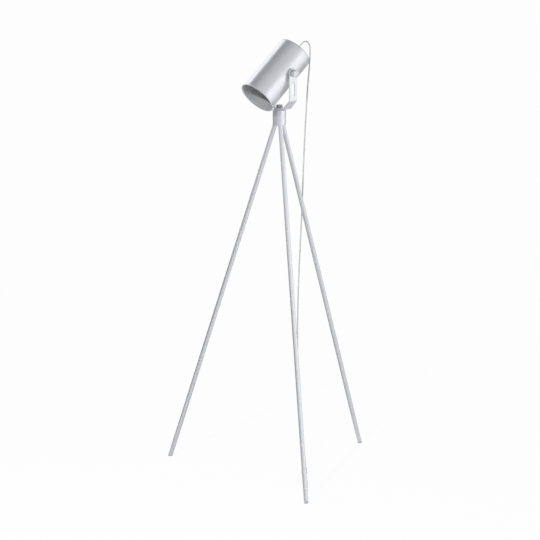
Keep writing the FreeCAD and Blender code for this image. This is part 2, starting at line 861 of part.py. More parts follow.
def make_lamp_holder():
    """A hollow threaded tube with two lock nuts carries the cord grip outside and the holder inside."""
    tube_radius = "dims.threaded_tube_diameter / 2"
    tube = ring(
        "tube_body",
        IN_HEAD,
        "dims.threaded_tube_bore / 2",
        tube_radius,
        f"({PLATE_FRONT} - dims.threaded_tube_inside)",
        f"({PLATE_BACK} + dims.threaded_tube_outside)",
    )
    keep("threaded_tube", tube)
    thread = f"({tube_radius} + dims.fixed_gap)"
    nut_low = f"{PLATE_FRONT} - dims.lock_nut_height - dims.fixed_gap"
    lock_nut = hex_prism(
        "lock_nut_body",
        f"{IN_HEAD} * {place('0', '0', nut_low)}",
        "dims.lock_nut_across_flats",
        "dims.lock_nut_height",
        thread,
    )
    keep("holder_lock_nut", lock_nut)
    barrel = "dims.holder_barrel_diameter / 2"
    wall = "dims.holder_wall"
    dome = turned(
        "holder_dome_body",
        IN_HEAD,
        [
            (thread, HOLDER_TOP),
            ("dims.holder_neck_diameter / 2", HOLDER_TOP),
            ("dims.holder_neck_diameter / 2", f"({HOLDER_TOP} - 8)"),
            (f"({barrel} - 3)", f"({HOLDER_TOP} - dims.holder_dome_length * 0.6)"),
            (barrel, f"({HOLDER_TOP} - dims.holder_dome_length * 0.8)"),
            (barrel, HOLDER_SEAM),
            (f"({barrel} - {wall})", HOLDER_SEAM),
            (f"({barrel} - {wall} - 3)", f"({HOLDER_TOP} - dims.holder_dome_length * 0.6 - 2)"),
            (thread, f"({HOLDER_TOP} - 10)"),
        ],
    )
    keep("holder_dome", dome)
    socket = "(dims.bulb_cap_diameter / 2 + 1.2)"
    seam = f"({HOLDER_SEAM} - dims.fixed_gap)"
    core_face = f"({BULB_SEAT} + 2)"
    shell = turned(
        "holder_barrel_body",
        IN_HEAD,
        [
            (f"({socket} + {wall})", seam),
            (barrel, seam),
            (barrel, f"({seam} - 8)"),
            (f"({barrel} - 1)", f"({seam} - 9)"),
            (f"({barrel} - 1)", f"({HOLDER_MOUTH} + 2)"),
            (f"({barrel} - 2)", HOLDER_MOUTH),
            (f"({socket} + {wall})", HOLDER_MOUTH),
        ],
    )
    keep("holder_barrel", shell)
    core = turned(
        "holder_core_body",
        IN_HEAD,
        [
            ("0", core_face),
            (socket, core_face),
            (socket, f"({HOLDER_MOUTH} + 1)"),
            (f"({socket} + {wall} - dims.fixed_gap)", f"({HOLDER_MOUTH} + 1)"),
            (f"({socket} + {wall} - dims.fixed_gap)", seam),
            ("0", seam),
        ],
    )
    keep("holder_core", core)
    contact = padded(
        "contact_body",
        IN_HEAD,
        [
            ("-8", f"({core_face} - dims.fixed_gap)"),
            ("8", f"({core_face} - dims.fixed_gap)"),
            ("8", f"({core_face} - dims.fixed_gap - 0.6)"),
            ("3", f"({core_face} - dims.fixed_gap - 0.6)"),
            ("1.5", f"({BULB_SEAT} + dims.fixed_gap)"),
            ("-1.5", f"({BULB_SEAT} + dims.fixed_gap)"),
            ("-3", f"({core_face} - dims.fixed_gap - 0.6)"),
            ("-8", f"({core_face} - dims.fixed_gap - 0.6)"),
        ],
        "5",
    )
    keep("holder_contact", contact)


def make_lead_cores():
    """The cord's two insulated cores, from the cord's end through the tube to the holder."""
    low = f"({HOLDER_SEAM} + dims.fixed_gap)"
    length = f"{PLATE_BACK} + dims.threaded_tube_outside + 1 - {low}"
    cores = []
    for side, across in (("left", "-1.4"), ("right", "1.4")):
        placement = f"{IN_HEAD} * {place(across, '0', low)}"
        cores.append(cylinder(f"lead_core_{side}", placement, "0.95", length))
    group("lead_cores", cores)


def make_bulb():
    """A screw-cap bulb: metal cap, tapering housing and domed diffuser."""
    cap = "dims.bulb_cap_diameter / 2"
    gap = "dims.fixed_gap"
    screw_cap = turned(
        "bulb_cap_body",
        IN_HEAD,
        [
            ("0", BULB_SEAT),
            ("4", BULB_SEAT),
            (f"({cap} - 4)", f"({BULB_SEAT} - 3)"),
            (f"({cap} - 0.8)", f"({BULB_SEAT} - 6)"),
            (cap, f"({BULB_SEAT} - 8)"),
            (cap, BULB_SHOULDER),
            ("0", BULB_SHOULDER),
        ],
    )
    keep("bulb_screw_cap", screw_cap)
    neck_low = f"({BULB_SHOULDER} - {gap})"
    wide = "dims.bulb_diameter / 2"
    housing = turned(
        "bulb_housing_body",
        IN_HEAD,
        [
            ("0", neck_low),
            (f"({cap} + 0.6)", neck_low),
            (f"({cap} + 0.6)", f"({HOLDER_MOUTH} - 1)"),
            (f"({wide} * 0.72)", f"({neck_low} - dims.bulb_housing_length * 0.5)"),
            (f"({wide} * 0.92)", f"({neck_low} - dims.bulb_housing_length * 0.8)"),
            (wide, BULB_BELT),
            ("0", BULB_BELT),
        ],
    )
    keep("bulb_housing", housing)
    # the dome is half an ellipsoid: a hemisphere drawn out to the dome's length
    ball = doc.addObject("Part::Ellipsoid", "bulb_dome_ball")
    ball.setExpression("Radius1", "dims.bulb_dome_length")
    ball.setExpression("Radius2", wide)
    ball.setExpression("Radius3", wide)
    ball.Angle1 = -90
    ball.Angle2 = 0
    ball.setExpression("Placement", f"{IN_HEAD} * {place('0', '0', f'({BULB_BELT} - {gap})')}")
    doc.recompute()
    keep("bulb_diffuser", ball)


def make_cord_grip():
    """A tapered strain relief screwed on the threaded tube's outer end."""
    seat = f"({PLATE_BACK} + {'dims.fixed_gap'})"
    tip = f"({seat} + dims.cord_grip_length)"
    body = "dims.cord_grip_diameter / 2"
    thin = "dims.cord_grip_tip_diameter / 2"
    thread = "(dims.threaded_tube_diameter / 2 + dims.fixed_gap)"
    bore = "(dims.cord_diameter / 2 + dims.fixed_gap)"
    shoulder = f"({PLATE_BACK} + dims.threaded_tube_outside + 0.5)"
    grip = turned(
        "cord_grip_body",
        IN_HEAD,
        [
            (thread, seat),
            (body, seat),
            (body, f"({seat} + 8)"),
            (f"({body} - 1)", f"({seat} + 9)"),
            (thin, f"({tip} - 0.8)"),
            (f"({thin} - 0.8)", tip),
            (bore, tip),
            (bore, shoulder),
            (thread, shoulder),
        ],
    )
    keep("cord_grip", grip)


# ---------------------------------------------------------------- cord

# The cord leaves the grip along the head's axis, turns over in a small loop and hangs behind
# the head to the floor, where it lies behind the front leg. Points chosen by hand, in mm.
LOOP_ROUTE = [
    (91.0, 151.3, 1549.7),
    (102.2, 158.5, 1554.0),
    (113.3, 166.8, 1552.1),
    (122.6, 174.0, 1544.4),
    (128.2, 178.3, 1532.3),
    (128.44, 179.08, 1518.0),
]
DROP_ROUTE = [
    (128.44, 179.08, 1518.0),
    (128.9, 180.6, 1490.0),
    (126.4, 181.7, 1452.0),
    (122.4, 182.6, 1400.0),
    (118.5, 183.5, 1336.0),
    (115.1, 184.3, 1268.0),
    (111.9, 185.1, 1196.0),
    (109.3, 186.1, 1122.0),
    (106.9, 186.7, 1048.0),
    (104.9, 187.6, 974.0),
    (102.2, 188.3, 900.0),
    (99.0, 189.0, 826.0),
    (95.8, 189.8, 752.0),
    (93.2, 190.4, 678.0),
    (91.2, 190.8, 604.0),
    (90.1, 191.1, 530.0),
    (89.8, 191.2, 456.0),
    (90.6, 191.1, 384.0),
    (92.5, 190.6, 312.0),
    (95.3, 189.4, 240.0),
    (99.2, 187.9, 172.0),
    (103.6, 186.0, 112.0),
    (107.2, 182.6, 66.0),
    (108.5, 174.8, 36.0),
    (107.5, 164.0, 19.5),
]
# where the grip's tip is when the routes above were chosen
CHOSEN_GRIP_TIP = (81.2, 146.4, 1540.1)
# the cord's last bend, and its end inside the switch, before the switch's centre
LAST_BEND = 47.0
CORD_IN_SWITCH = 2.0


def rounded_path(points, name):
    """Straight runs joined by tangent arcs. Each arc uses 0.45 of its shorter run."""
    edges, radii = [], []
    start = points[0]
    for before, corner, after in zip(points, points[1:], points[2:]):
        arriving, leaving = corner - before, after - corner
        reach = 0.45 * min(arriving.Length, leaving.Length)
        half_turn = arriving.getAngle(leaving) / 2
        radii.append(reach / math.tan(half_turn))
        arriving.normalize()
        leaving.normalize()
        into, out = corner - arriving * reach, corner + leaving * reach
        inwards = (leaving - arriving).normalize()
        sag = radii[-1] * (1 / math.cos(half_turn) - 1)
        edges.append(Part.LineSegment(start, into).toShape())
        edges.append(Part.Arc(into, corner + inwards * sag, out).toShape())
        start = out
    edges.append(Part.LineSegment(start, points[-1]).toShape())
    print(f"{name} bend radii in mm:", " ".join(f"{radius:.0f}" for radius in radii))
    return Part.Wire(edges)


def tube_along(path, name):
    """A round tube of the cord's diameter along a path, with its volume checked."""
    first = path.Edges[0]
    start = first.valueAt(first.FirstParameter)
    heading = first.tangentAt(first.FirstParameter)
    radius = size("cord_diameter") / 2
    section = Part.Wire(Part.makeCircle(radius, start, heading))
    solid = path.makePipeShell([section], True, False)
    expected = math.pi * radius**2 * path.Length
    print(f"{name}: {path.Length:.0f} mm long, volume over section x length {solid.Volume / expected:.4f}")
    if abs(solid.Volume / expected - 1) > 0.01:
        raise RuntimeError(f"{name} has the wrong volume")
    made = doc.addObject("Part::Feature", name)
    made.Shape = solid
    return keep(name, made)


def in_head(x, y, z):
    """A point of the head's own frame, in the lamp's frame."""
    tilt = Rotation(Vector(1, 0, 0), size("head_tilt") - 90)
    turn = Rotation(Vector(0, 0, 1), size("yoke_turn"))
    axis_point = Vector(0, worked(HUB_Y), worked(PIVOT_Z))
    return Placement(axis_point, turn.multiply(tilt)).multVec(Vector(x, y, z))


def make_free_cord():
    """The loop behind the head and the drop to the floor. If the grip moves, both follow it, and
    the drop does so less and less towards the floor."""
    grip_tip = worked(f"{PLATE_BACK} + dims.fixed_gap + dims.cord_grip_length")
    inner_end = worked(f"{PLATE_BACK} + dims.threaded_tube_outside + 1")
    exit_point = in_head(0, 0, grip_tip)
    moved = exit_point - Vector(*CHOSEN_GRIP_TIP)
    print("grip tip at", exit_point)
    hidden = Part.LineSegment(in_head(0, 0, inner_end), exit_point).toShape()
    loop_points = [exit_point] + [Vector(*point) + moved for point in LOOP_ROUTE]
    loop = rounded_path(loop_points, "cord_loop")
    # the cord's end runs on inside the grip, so the tube starts there
    tube_along(Part.Wire([hidden] + loop.Edges), "cord_loop")
    top = DROP_ROUTE[0][2]
    drop_points = [Vector(*point) + moved * (point[2] / top) ** 2 for point in DROP_ROUTE[1:]]
    level = size("switch_width") / 2
    landing = [on_floor(-LAST_BEND, 0, level), on_floor(CORD_IN_SWITCH - worked(SWITCH_END), 0, level)]
    down = (drop_points[0] - loop_points[-1]).normalize()
    start = loop_points[-1] + down * size("fixed_gap")
    drop = rounded_path([start] + drop_points + landing, "cord_drop")
    tube_along(drop, "cord_drop")


def on_floor(distance, sideways=0.0, height=0.0):
    """A point of the landing strip: distance along it from the switch's centre."""
    turn = Rotation(Vector(0, 0, 1), size("landing_turn"))
    start = Vector(size("landing_x"), size("landing_y"), 0)
    return start + turn.multVec(Vector(distance, sideways, height))


def landing_place(distance, height, rotation=UPRIGHT):
    """An expression for a placement on the strip. Local X runs along it, away from the lamp head."""
    turn = "dims.landing_turn * 1deg"
    x = f"dims.landing_x + {distance} * cos({turn})"
    y = f"dims.landing_y + {distance} * sin({turn})"
    return place(x, y, height, f"rotation(vector(0; 0; 1); {turn}) * {rotation}")


# ---------------------------------------------------------------- hank


def two_arcs(start, heading, end, arriving):
    """Two arcs that leave start along heading and reach end along arriving, with equal handles."""
    chord = end - start
    bend = 2 * (1 - heading.dot(arriving))
    across = chord.dot(heading + arriving)
    if bend < 1e-9:
        handle = chord.dot(chord) / (2 * across)
    else:
        handle = (math.sqrt(across**2 + bend * chord.dot(chord)) - across) / bend
    middle = (start + heading * handle + end - arriving * handle) * 0.5
    return [arc_from(start, heading, middle), arc_from(end, arriving * -1, middle, backwards=True)]


def arc_from(start, heading, end, backwards=False):
    """The arc that leaves start along heading and ends at end. Backwards, its edge runs from end
    to start, so that a chain of edges keeps one direction."""
    chord = end - start
    ends = (end, start) if backwards else (start, end)
    if heading.cross(chord).Length < 1e-6 * chord.Length:
        return Part.LineSegment(*ends).toShape()
    unit = Vector(chord).normalize()
    sideways = (heading - unit * heading.dot(unit)).normalize()
    rise = chord.Length / 2 * math.tan(heading.getAngle(unit) / 2)
    return Part.Arc(ends[0], start + chord * 0.5 + sideways * rise, ends[1]).toShape()


def hank_stations():
    """Points and headings round the hank, on the landing strip. Each turn is a lower run, a fold
    up, an upper run that climbs one pitch sideways, and a fold down. Both runs are drawn in at
    the waist, and a last lower run leads out to the plug."""
    radius, run = size("hank_fold_radius"), size("hank_run")
    pitch, draw = size("hank_pitch"), size("hank_waist_draw")
    turns = int(size("hank_turns"))
    low = size("cord_diameter") / 2 + size("floor_gap")
    high = low + 2 * radius
    near = size("hank_distance")
    waist, far = near + run / 2, near + run
    ahead, back = Vector(1, 0, 0), Vector(-1, 0, 0)
    up, down = Vector(0, 0, 1), Vector(0, 0, -1)
    climb = Vector(-run, pitch, 0).normalize()
    stations = []
    for n in range(turns + 1):
        side = (n - turns / 2) * pitch
        stations += [
            (Vector(near, side, low), ahead),
            (Vector(waist, side, low + draw), ahead),
            (Vector(far, side, low), ahead),
        ]
        if n < turns:
            stations += [
                (Vector(far + radius, side, low + radius), up),
                (Vector(far, side, high), back),
                (Vector(waist, side + pitch / 2, high - draw), climb),
                (Vector(near, side + pitch, high), back),
                (Vector(near - radius, side + pitch, low + radius), down),
            ]
    return stations


def make_hank():
    """The put-away length: one unbroken tube from the switch, round the hank, to the plug."""
    cord = size("cord_diameter")
    switch_level = size("switch_width") / 2
    plug_level = size("plug_width") / 2
    ahead = Vector(1, 0, 0)
    switch_end = worked(SWITCH_END) - CORD_IN_SWITCH
    boot_end = worked(BOOT_END) + cord
    plug_start = worked(PLUG_START)
    plug_back = plug_start + size("plug_relief_length")
    entry = [(Vector(switch_end, 0, switch_level), ahead), (Vector(boot_end, 0, switch_level), ahead)]
    leaving = [
        (Vector(plug_start - cord, 0, plug_level), ahead),
        (Vector(plug_back, 0, plug_level), ahead),
    ]
    route = entry + hank_stations() + leaving
    edges = []
    for (start, heading), (end, arriving) in zip(route, route[1:]):
        edges += two_arcs(start, heading, end, arriving)
    path = Part.Wire(edges)
    print_least_gap(path, cord)
    turn = Rotation(Vector(0, 0, 1), size("landing_turn"))
    path.transformShape(Placement(on_floor(0), turn).toMatrix())
    tube_along(path, "cord_hank")


def print_least_gap(path, cord):
    """The least gap between the tube and itself, on points spaced along its centre line."""
    points = path.discretize(Distance=2.0)
    apart = int(math.pi * cord)  # neighbours along the tube are not counted
    least = min(
        (a - b).Length
        for n, a in enumerate(points)
        for b in points[n + apart :]
    )
    print(f"cord_hank: least gap to itself {least - cord:.2f} mm")


def make_tie():
    """A flat strap round the hank's waist."""
    half_wide = "(dims.hank_turns / 2 * dims.hank_pitch + dims.cord_diameter / 2 + dims.seat_gap)"
    half_high = "(dims.hank_fold_radius - dims.hank_waist_draw + dims.cord_diameter / 2 + dims.seat_gap)"
    height = "dims.cord_diameter / 2 + dims.floor_gap + dims.hank_fold_radius"
    waist = "(dims.hank_distance + dims.hank_run / 2)"
    placement = landing_place(waist, height, "rotation(vector(0; 0; 1); 90deg)")
    thick = "dims.tie_thickness"
    wide, high = f"({half_wide} + {thick})", f"({half_high} + {thick})"
    corners = [(f"-{wide}", f"-{high}"), (wide, f"-{high}"), (wide, high), (f"-{wide}", high)]
    tie = padded("tie_body", placement, corners, "dims.tie_width")
    outer = runs_along(Vector(0, 1, 0))
    soften(tie, "tie_outer_corners", "Fillet", "dims.cord_diameter / 2 + dims.tie_thickness", outer)

    def inside(sketch):
        a, b = half_wide, half_high
        outline(sketch, [(f"-{a}", f"-{b}"), (a, f"-{b}"), (a, b), (f"-{a}", b)])

    pocket(tie, "tie_inside", inside, "XZ_Plane")

    def inner(edge):
        at_side = abs(abs(edge.CenterOfMass.x) - worked(half_wide)) < 0.01
        return runs_along(Vector(0, 1, 0))(edge) and at_side

    soften(tie, "tie_inner_corners", "Fillet", "dims.cord_diameter / 2", inner)
    keep("hank_tie", tie)


# ---------------------------------------------------------------- inline switch


ON_EDGE = "rotation(vector(1; 0; 0); 90deg)"
TO_PLUS_X = "placement(vector(0; 0; 0); rotation(vector(0; 1; 0); 90deg))"
TO_MINUS_X = "placement(vector(0; 0; 0); rotation(vector(0; 1; 0); -90deg))"
# Local X runs along the cord, local Y is the switch's width, upright, and local Z its height.
IN_SWITCH = landing_place("0", "dims.switch_width / 2", ON_EDGE)
# Local X runs from the cord's side to the pins and local Y is the plug's width, upright.
IN_PLUG = landing_place(PLUG_START, "dims.plug_width / 2", ON_EDGE)


def rectangle(half_long, half_wide):
    return [
        (f"-{half_long}", f"-{half_wide}"),
        (half_long, f"-{half_wide}"),
        (half_long, half_wide),
        (f"-{half_long}", half_wide),
    ]


def flat_at(level):
    """A test for edges that lie flat at that local height."""

    def wanted(edge):
        box = edge.BoundBox
        return abs(box.ZMin - level) < 0.01 and abs(box.ZMax - level) < 0.01

    return wanted


def make_switch_half(name, reverse):
    """One half of the switch's body, with its share of the cord's entries."""
    body = new_body(f"{name}_body", IN_SWITCH)
    sketch = new_sketch(body, f"{name}_outline", "XY_Plane")
    outline(sketch, rectangle("dims.switch_length / 2", "dims.switch_width / 2"))
    pad = body.newObject("PartDesign::Pad", f"{name}_pad")
    pad.Profile = sketch
    pad.setExpression("Length", "dims.switch_half_height")
    pad.Reversed = reverse
    doc.recompute()
    soften(body, f"{name}_ends", "Fillet", "dims.switch_width * 0.36", runs_along(Vector(0, 0, 1)))
    level = size("switch_half_height") * (-1 if reverse else 1)
    soften(body, f"{name}_soft_face", "Fillet", "dims.switch_half_height * 0.45", flat_at(level))

    def entry(sketch):
        circle(sketch, "0", "0", "dims.cord_diameter / 2 + dims.fixed_gap")

    pocket(body, f"{name}_cord_entries", entry, "YZ_Plane")
    return keep(name, body)


def make_switch():
    """Two moulded halves screwed together, with a rocker on its pin between them."""
    cover = make_switch_half("switch_cover", False)
    base = make_switch_half("switch_base", True)
    half_long = "(dims.rocker_length / 2 + dims.seat_gap)"
    half_wide = "(dims.rocker_width / 2 + dims.seat_gap)"

    def well(sketch):
        outline(sketch, rectangle(half_long, half_wide))

    pocket(cover, "rocker_opening", well, "XY_Plane")
    pocket(base, "rocker_well", well, "XY_Plane", "dims.switch_half_height")

    def pin_hole(sketch):
        circle(sketch, "0", "dims.rocker_pin_height", "1 + dims.running_gap")

    pocket(cover, "rocker_pin_hole", pin_hole, "XZ_Plane", "dims.rocker_width + 4")
    make_rocker()
    make_switch_boots()
    make_switch_screws(cover, base)


def make_rocker():
    """A shallow V-topped rocker on a pin along local Y. It rests with one end pressed in."""
    half = "dims.rocker_length / 2"
    pin = "dims.rocker_pin_height"
    top = f"(dims.switch_half_height + 1.6 - {pin})"
    dip = f"(dims.switch_half_height + 0.6 - {pin})"
    shoulder = f"(dims.switch_half_height - 2.5 - {pin})"
    tilt = f"placement(vector(0; 0; {pin}); rotation(vector(0; 1; 0); dims.rocker_tilt * 1deg))"
    corners = [
        ("-3", f"-{pin}"),
        ("3", f"-{pin}"),
        (f"({half} - 1.4)", shoulder),
        (f"({half} - 0.8)", top),
        ("0", dip),
        (f"(0.8 - {half})", top),
        (f"(1.4 - {half})", shoulder),
    ]
    rocker = padded("rocker_body", f"{IN_SWITCH} * {tilt}", corners, "dims.rocker_width")
    sketch = new_sketch(rocker, "rocker_pin_sketch")
    circle(sketch, "0", "0", "1")
    pad = rocker.newObject("PartDesign::Pad", "rocker_pin")
    pad.Profile = sketch
    pad.Midplane = True
    pad.setExpression("Length", "dims.rocker_width + 3")
    doc.recompute()
    keep("switch_rocker", rocker)


def make_switch_boots():
    """Soft tapered boots where the cord enters and leaves the switch."""
    bore = "(dims.cord_diameter / 2 + dims.fixed_gap)"
    start = f"({SWITCH_END} + dims.fixed_gap)"
    profile = [
        (bore, start),
        ("5", start),
        ("4.6", f"({start} + 1.5)"),
        (f"({bore} + 0.9)", BOOT_END),
        (bore, BOOT_END),
    ]
    boots = []
    for end, turn in (("in", TO_MINUS_X), ("out", TO_PLUS_X)):
        boots.append(turned(f"boot_{end}", f"{IN_SWITCH} * {turn}", profile))
    group("switch_boots", boots)


def make_switch_screws(cover, base):
    """Two small screws from the base's face, one each side of the rocker."""
    lift = "dims.switch_width * 0.3"
    places = (("left", "-dims.switch_length * 0.33"), ("right", "dims.switch_length * 0.33"))
    sunk, head_height, head_radius, shank_radius, tip = "0.8", "1.4", "2.4", "1.2", "4"
    head = f"({sunk} - dims.switch_half_height)"
    under = f"({head} + {head_height})"
    screws = []
    for end, across in places:
        placement = f"{IN_SWITCH} * {place(across, lift, '0')}"
        corners = [
            ("0", head),
            (head_radius, head),
            (head_radius, under),
            (shank_radius, under),
            (shank_radius, tip),
            ("0", tip),
        ]
        screws.append(turned(f"switch_screw_{end}", placement, corners))
    group("switch_screws", screws)

    def shanks(sketch):
        for _end, across in places:
            circle(sketch, across, lift, f"{shank_radius} + dims.running_gap")

    pocket(cover, "cover_screw_holes", shanks, "XY_Plane", f"2 * ({tip} + dims.seat_gap)")
    pocket(base, "base_screw_holes", shanks, "XY_Plane")
    sketch = new_sketch(base, "screw_head_sketch", "XY_Plane")
    for _end, across in places:
        circle(sketch, across, lift, f"{head_radius} + dims.fixed_gap")
    sketch.setExpression("AttachmentOffset.Base.z", f"{under} + dims.fixed_gap")
    recess = base.newObject("PartDesign::Pocket", "screw_heads")
    recess.Profile = sketch
    recess.Type = "ThroughAll"
    doc.recompute()


# ---------------------------------------------------------------- plug


def make_plug():
    """A flat two-pin plug standing on its edge, with a tapered relief behind it."""
    relief = "dims.plug_relief_length"
    back = f"({relief} + dims.fixed_gap)"
    front = f"({back} + dims.plug_length)"
    half = "dims.plug_width / 2"
    waist = f"({back} + dims.plug_length * 0.5)"
    corners = [
        (back, f"-({half} * 0.42)"),
        (waist, f"-({half} * 0.8)"),
        (front, f"-{half}"),
        (front, half),
        (waist, f"({half} * 0.8)"),
        (back, f"({half} * 0.42)"),
    ]
    body = padded("plug_moulding", IN_PLUG, corners, "dims.plug_thickness", "XY_Plane")
    soften(body, "plug_corners", "Fillet", "dims.plug_thickness * 0.3", runs_along(Vector(0, 0, 1)))
    level = size("plug_thickness") / 2

    def face_edge(edge):
        return flat_at(level)(edge) or flat_at(-level)(edge)

    soften(body, "plug_soft_faces", "Fillet", "dims.plug_thickness * 0.2", face_edge)
    keep("plug_body", body)
    pin_radius = "dims.pin_diameter / 2"
    core = f"({pin_radius} - 0.5)"
    sleeve_end = "dims.pin_sleeve_length"
    inset = "8"
    pins, sleeves = [], []
    for side, sign in (("low", "-"), ("high", "")):
        across = f"{sign}dims.pin_spacing / 2"
        placement = f"{IN_PLUG} * {place(front, across, '0')} * {TO_PLUS_X}"
        pin = [
            ("0", f"-{inset}"),
            (core, f"-{inset}"),
            (core, f"({sleeve_end} + dims.fixed_gap)"),
            (pin_radius, f"({sleeve_end} + dims.fixed_gap)"),
            (pin_radius, "(dims.pin_length - 1)"),
            (f"({pin_radius} - 1)", "dims.pin_length"),
            ("0", "dims.pin_length"),
        ]
        pins.append(turned(f"plug_pin_{side}", placement, pin))
        sleeve_bore = f"({core} + dims.running_gap)"
        sleeve = ring(f"plug_sleeve_{side}", placement, sleeve_bore, pin_radius, "0", sleeve_end)
        sleeves.append(sleeve)
        sketch = new_sketch(body, f"pin_hole_sketch_{side}", "YZ_Plane")
        circle(sketch, across, "0", f"{core} + dims.running_gap")
        sketch.setExpression("AttachmentOffset.Base.z", f"{front} - {inset} - dims.seat_gap")
        hole = body.newObject("PartDesign::Pocket", f"pin_hole_{side}")
        hole.Profile = sketch
        hole.Reversed = True
        hole.Type = "ThroughAll"
        doc.recompute()
    group("plug_pins", pins)
    group("plug_pin_sleeves", sleeves)
    bore = "(dims.cord_diameter / 2 + dims.fixed_gap)"
    corners = [(bore, "0"), (f"({bore} + 0.8)", "0")]
    for n in range(5):
        start = f"({relief} * {0.1 + 0.16 * n:.2f})"
        end = f"({relief} * {0.2 + 0.16 * n:.2f})"
        rib = f"({bore} + {1.2 + 0.35 * n:.2f})"
        groove = f"({bore} + {0.8 + 0.3 * n:.2f})"
        corners += [(groove, start), (rib, start), (rib, end), (groove, end)]
    collar = f"({bore} + 2.6)"
    corners += [(collar, f"({relief} * 0.92)"), (collar, relief), (bore, relief)]
    keep("plug_relief", turned("plug_relief_body", f"{IN_PLUG} * {TO_PLUS_X}", corners))


# ---------------------------------------------------------------- build, check and write

make_legs()
make_hub()
make_swivel()
make_yoke()
make_pivots()
make_shade()
make_back_cap()
make_lamp_holder()
make_lead_cores()
make_bulb()
make_cord_grip()
make_free_cord()
make_hank()
make_tie()
make_switch()
make_plug()
doc.recompute()

for made in doc.Objects:
    if {"Invalid", "Error"} & set(made.State):
        raise RuntimeError(f"{made.Label} failed: {made.State}")
for node, made in NODES.items():
    if made.Shape.isNull() or not made.Shape.isValid():
        raise RuntimeError(f"{node} has no valid shape")

os.makedirs("parts", exist_ok=True)
for node, made in NODES.items():
    made.Shape.exportStep(f"parts/{node}.step")
print(len(NODES), "sub-parts written")
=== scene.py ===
import json
import math

import bmesh
import bpy
import numpy as np
from mathutils import Matrix, Vector


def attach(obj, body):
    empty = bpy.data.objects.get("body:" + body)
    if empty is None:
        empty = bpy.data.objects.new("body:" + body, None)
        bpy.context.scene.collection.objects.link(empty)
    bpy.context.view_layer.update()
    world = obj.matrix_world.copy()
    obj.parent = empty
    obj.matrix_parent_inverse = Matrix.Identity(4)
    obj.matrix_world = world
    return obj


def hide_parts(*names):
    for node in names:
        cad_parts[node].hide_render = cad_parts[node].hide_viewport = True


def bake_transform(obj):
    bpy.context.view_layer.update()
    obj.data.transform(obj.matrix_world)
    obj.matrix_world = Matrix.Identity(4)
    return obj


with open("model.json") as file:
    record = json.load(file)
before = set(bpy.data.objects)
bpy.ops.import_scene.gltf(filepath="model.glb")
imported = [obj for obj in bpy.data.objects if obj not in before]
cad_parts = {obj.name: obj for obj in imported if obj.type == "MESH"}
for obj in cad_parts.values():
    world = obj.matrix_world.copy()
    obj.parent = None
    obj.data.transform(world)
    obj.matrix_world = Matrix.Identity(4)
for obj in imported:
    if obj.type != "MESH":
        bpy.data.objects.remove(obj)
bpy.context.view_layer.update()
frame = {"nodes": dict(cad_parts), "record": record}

MM = 0.001
NODES = frame["nodes"]

# ---------------------------------------------------------------- places on the lamp
#
# Places are in metres and turns in degrees. Sizes and outlines are in mm, as in the CAD.

FOOT_CIRCLE_RADIUS, LEG_MEETING_HEIGHT = 422.0, 1320.0
LEG_LEAN = math.degrees(math.atan(FOOT_CIRCLE_RADIUS / LEG_MEETING_HEIGHT))
LEG_TURNS = {"front": -90, "right": 30, "left": 150}
HUB = Vector((0.0, 0.1055, 0.0))
LEG_MEETING = HUB + Vector((0.0, 0.0, LEG_MEETING_HEIGHT * MM))
HUB_BOTTOM, DISC_BOTTOM, WASHER_BOTTOM = 1.2685, 1.3244, 1.3336
YOKE_TURN = -63.3
HEAD_TILT = 40.4
PIVOT = Vector((0.0, 0.1055, 1.4627))


def placed(point, *turns):
    """A matrix that turns by each (degrees, axis) in the order written and moves to the point."""
    matrix = Matrix.Translation(point)
    for degrees, axis in turns:
        matrix = matrix @ Matrix.Rotation(math.radians(degrees), 4, axis)
    return matrix


# local Z runs along the head's axis to its back, and from the tilt axis out through each arm
IN_HEAD = placed(PIVOT, (YOKE_TURN, "Z"), (HEAD_TILT - 90, "X"))
ON_PIVOT = {
    "right": placed(PIVOT, (YOKE_TURN, "Z"), (90, "Y")),
    "left": placed(PIVOT, (YOKE_TURN, "Z"), (-90, "Y")),
}


def on_hub(height):
    """A place on the hub's axis, at a height in metres."""
    return placed(HUB + Vector((0, 0, height)))


def along_leg(leg):
    """Local Z runs down the leg from the point where the three axes meet."""
    return placed(LEG_MEETING, (LEG_TURNS[leg], "Z"), (180 - LEG_LEAN, "Y"))


# ---------------------------------------------------------------- camera, fitted to the photograph

STUDIO_TURN = -13.22
FACING = Matrix.Rotation(math.radians(STUDIO_TURN), 3, "Z")


def studio(x, y, z):
    """A point given from the hub's axis as the camera sees it: x right, y away, z up."""
    return FACING @ Vector((x, y, z)) + HUB


def make_camera():
    """The view fitted to the photograph, from a point in front of the hub's axis. In radians,
    pitch turns it down, pan turns it right and roll lifts its right side."""
    away, height = 8.0, 2.6379
    pitch, pan, roll = 0.2329, -0.0041, 0.0012
    focal_pixels, frame_pixels, sensor = 2284.65, 540, 36.0
    ahead = math.cos(pitch)
    forward = FACING @ Vector((math.sin(pan) * ahead, math.cos(pan) * ahead, -math.sin(pitch)))
    level = FACING @ Vector((math.cos(pan), -math.sin(pan), 0))
    upward = level.cross(forward)
    right = level * math.cos(roll) + upward * math.sin(roll)
    up = upward * math.cos(roll) - level * math.sin(roll)
    data = bpy.data.cameras.new("photograph_view")
    data.sensor_width = sensor
    data.lens = focal_pixels / frame_pixels * sensor
    data.clip_end = 100
    camera = bpy.data.objects.new("photograph_view", data)
    turned_to = Matrix((right, up, -forward)).transposed().to_4x4()
    camera.matrix_world = Matrix.Translation(studio(0, -away, height)) @ turned_to
    bpy.context.scene.collection.objects.link(camera)
    bpy.context.scene.camera = camera


# ---------------------------------------------------------------- shader maths


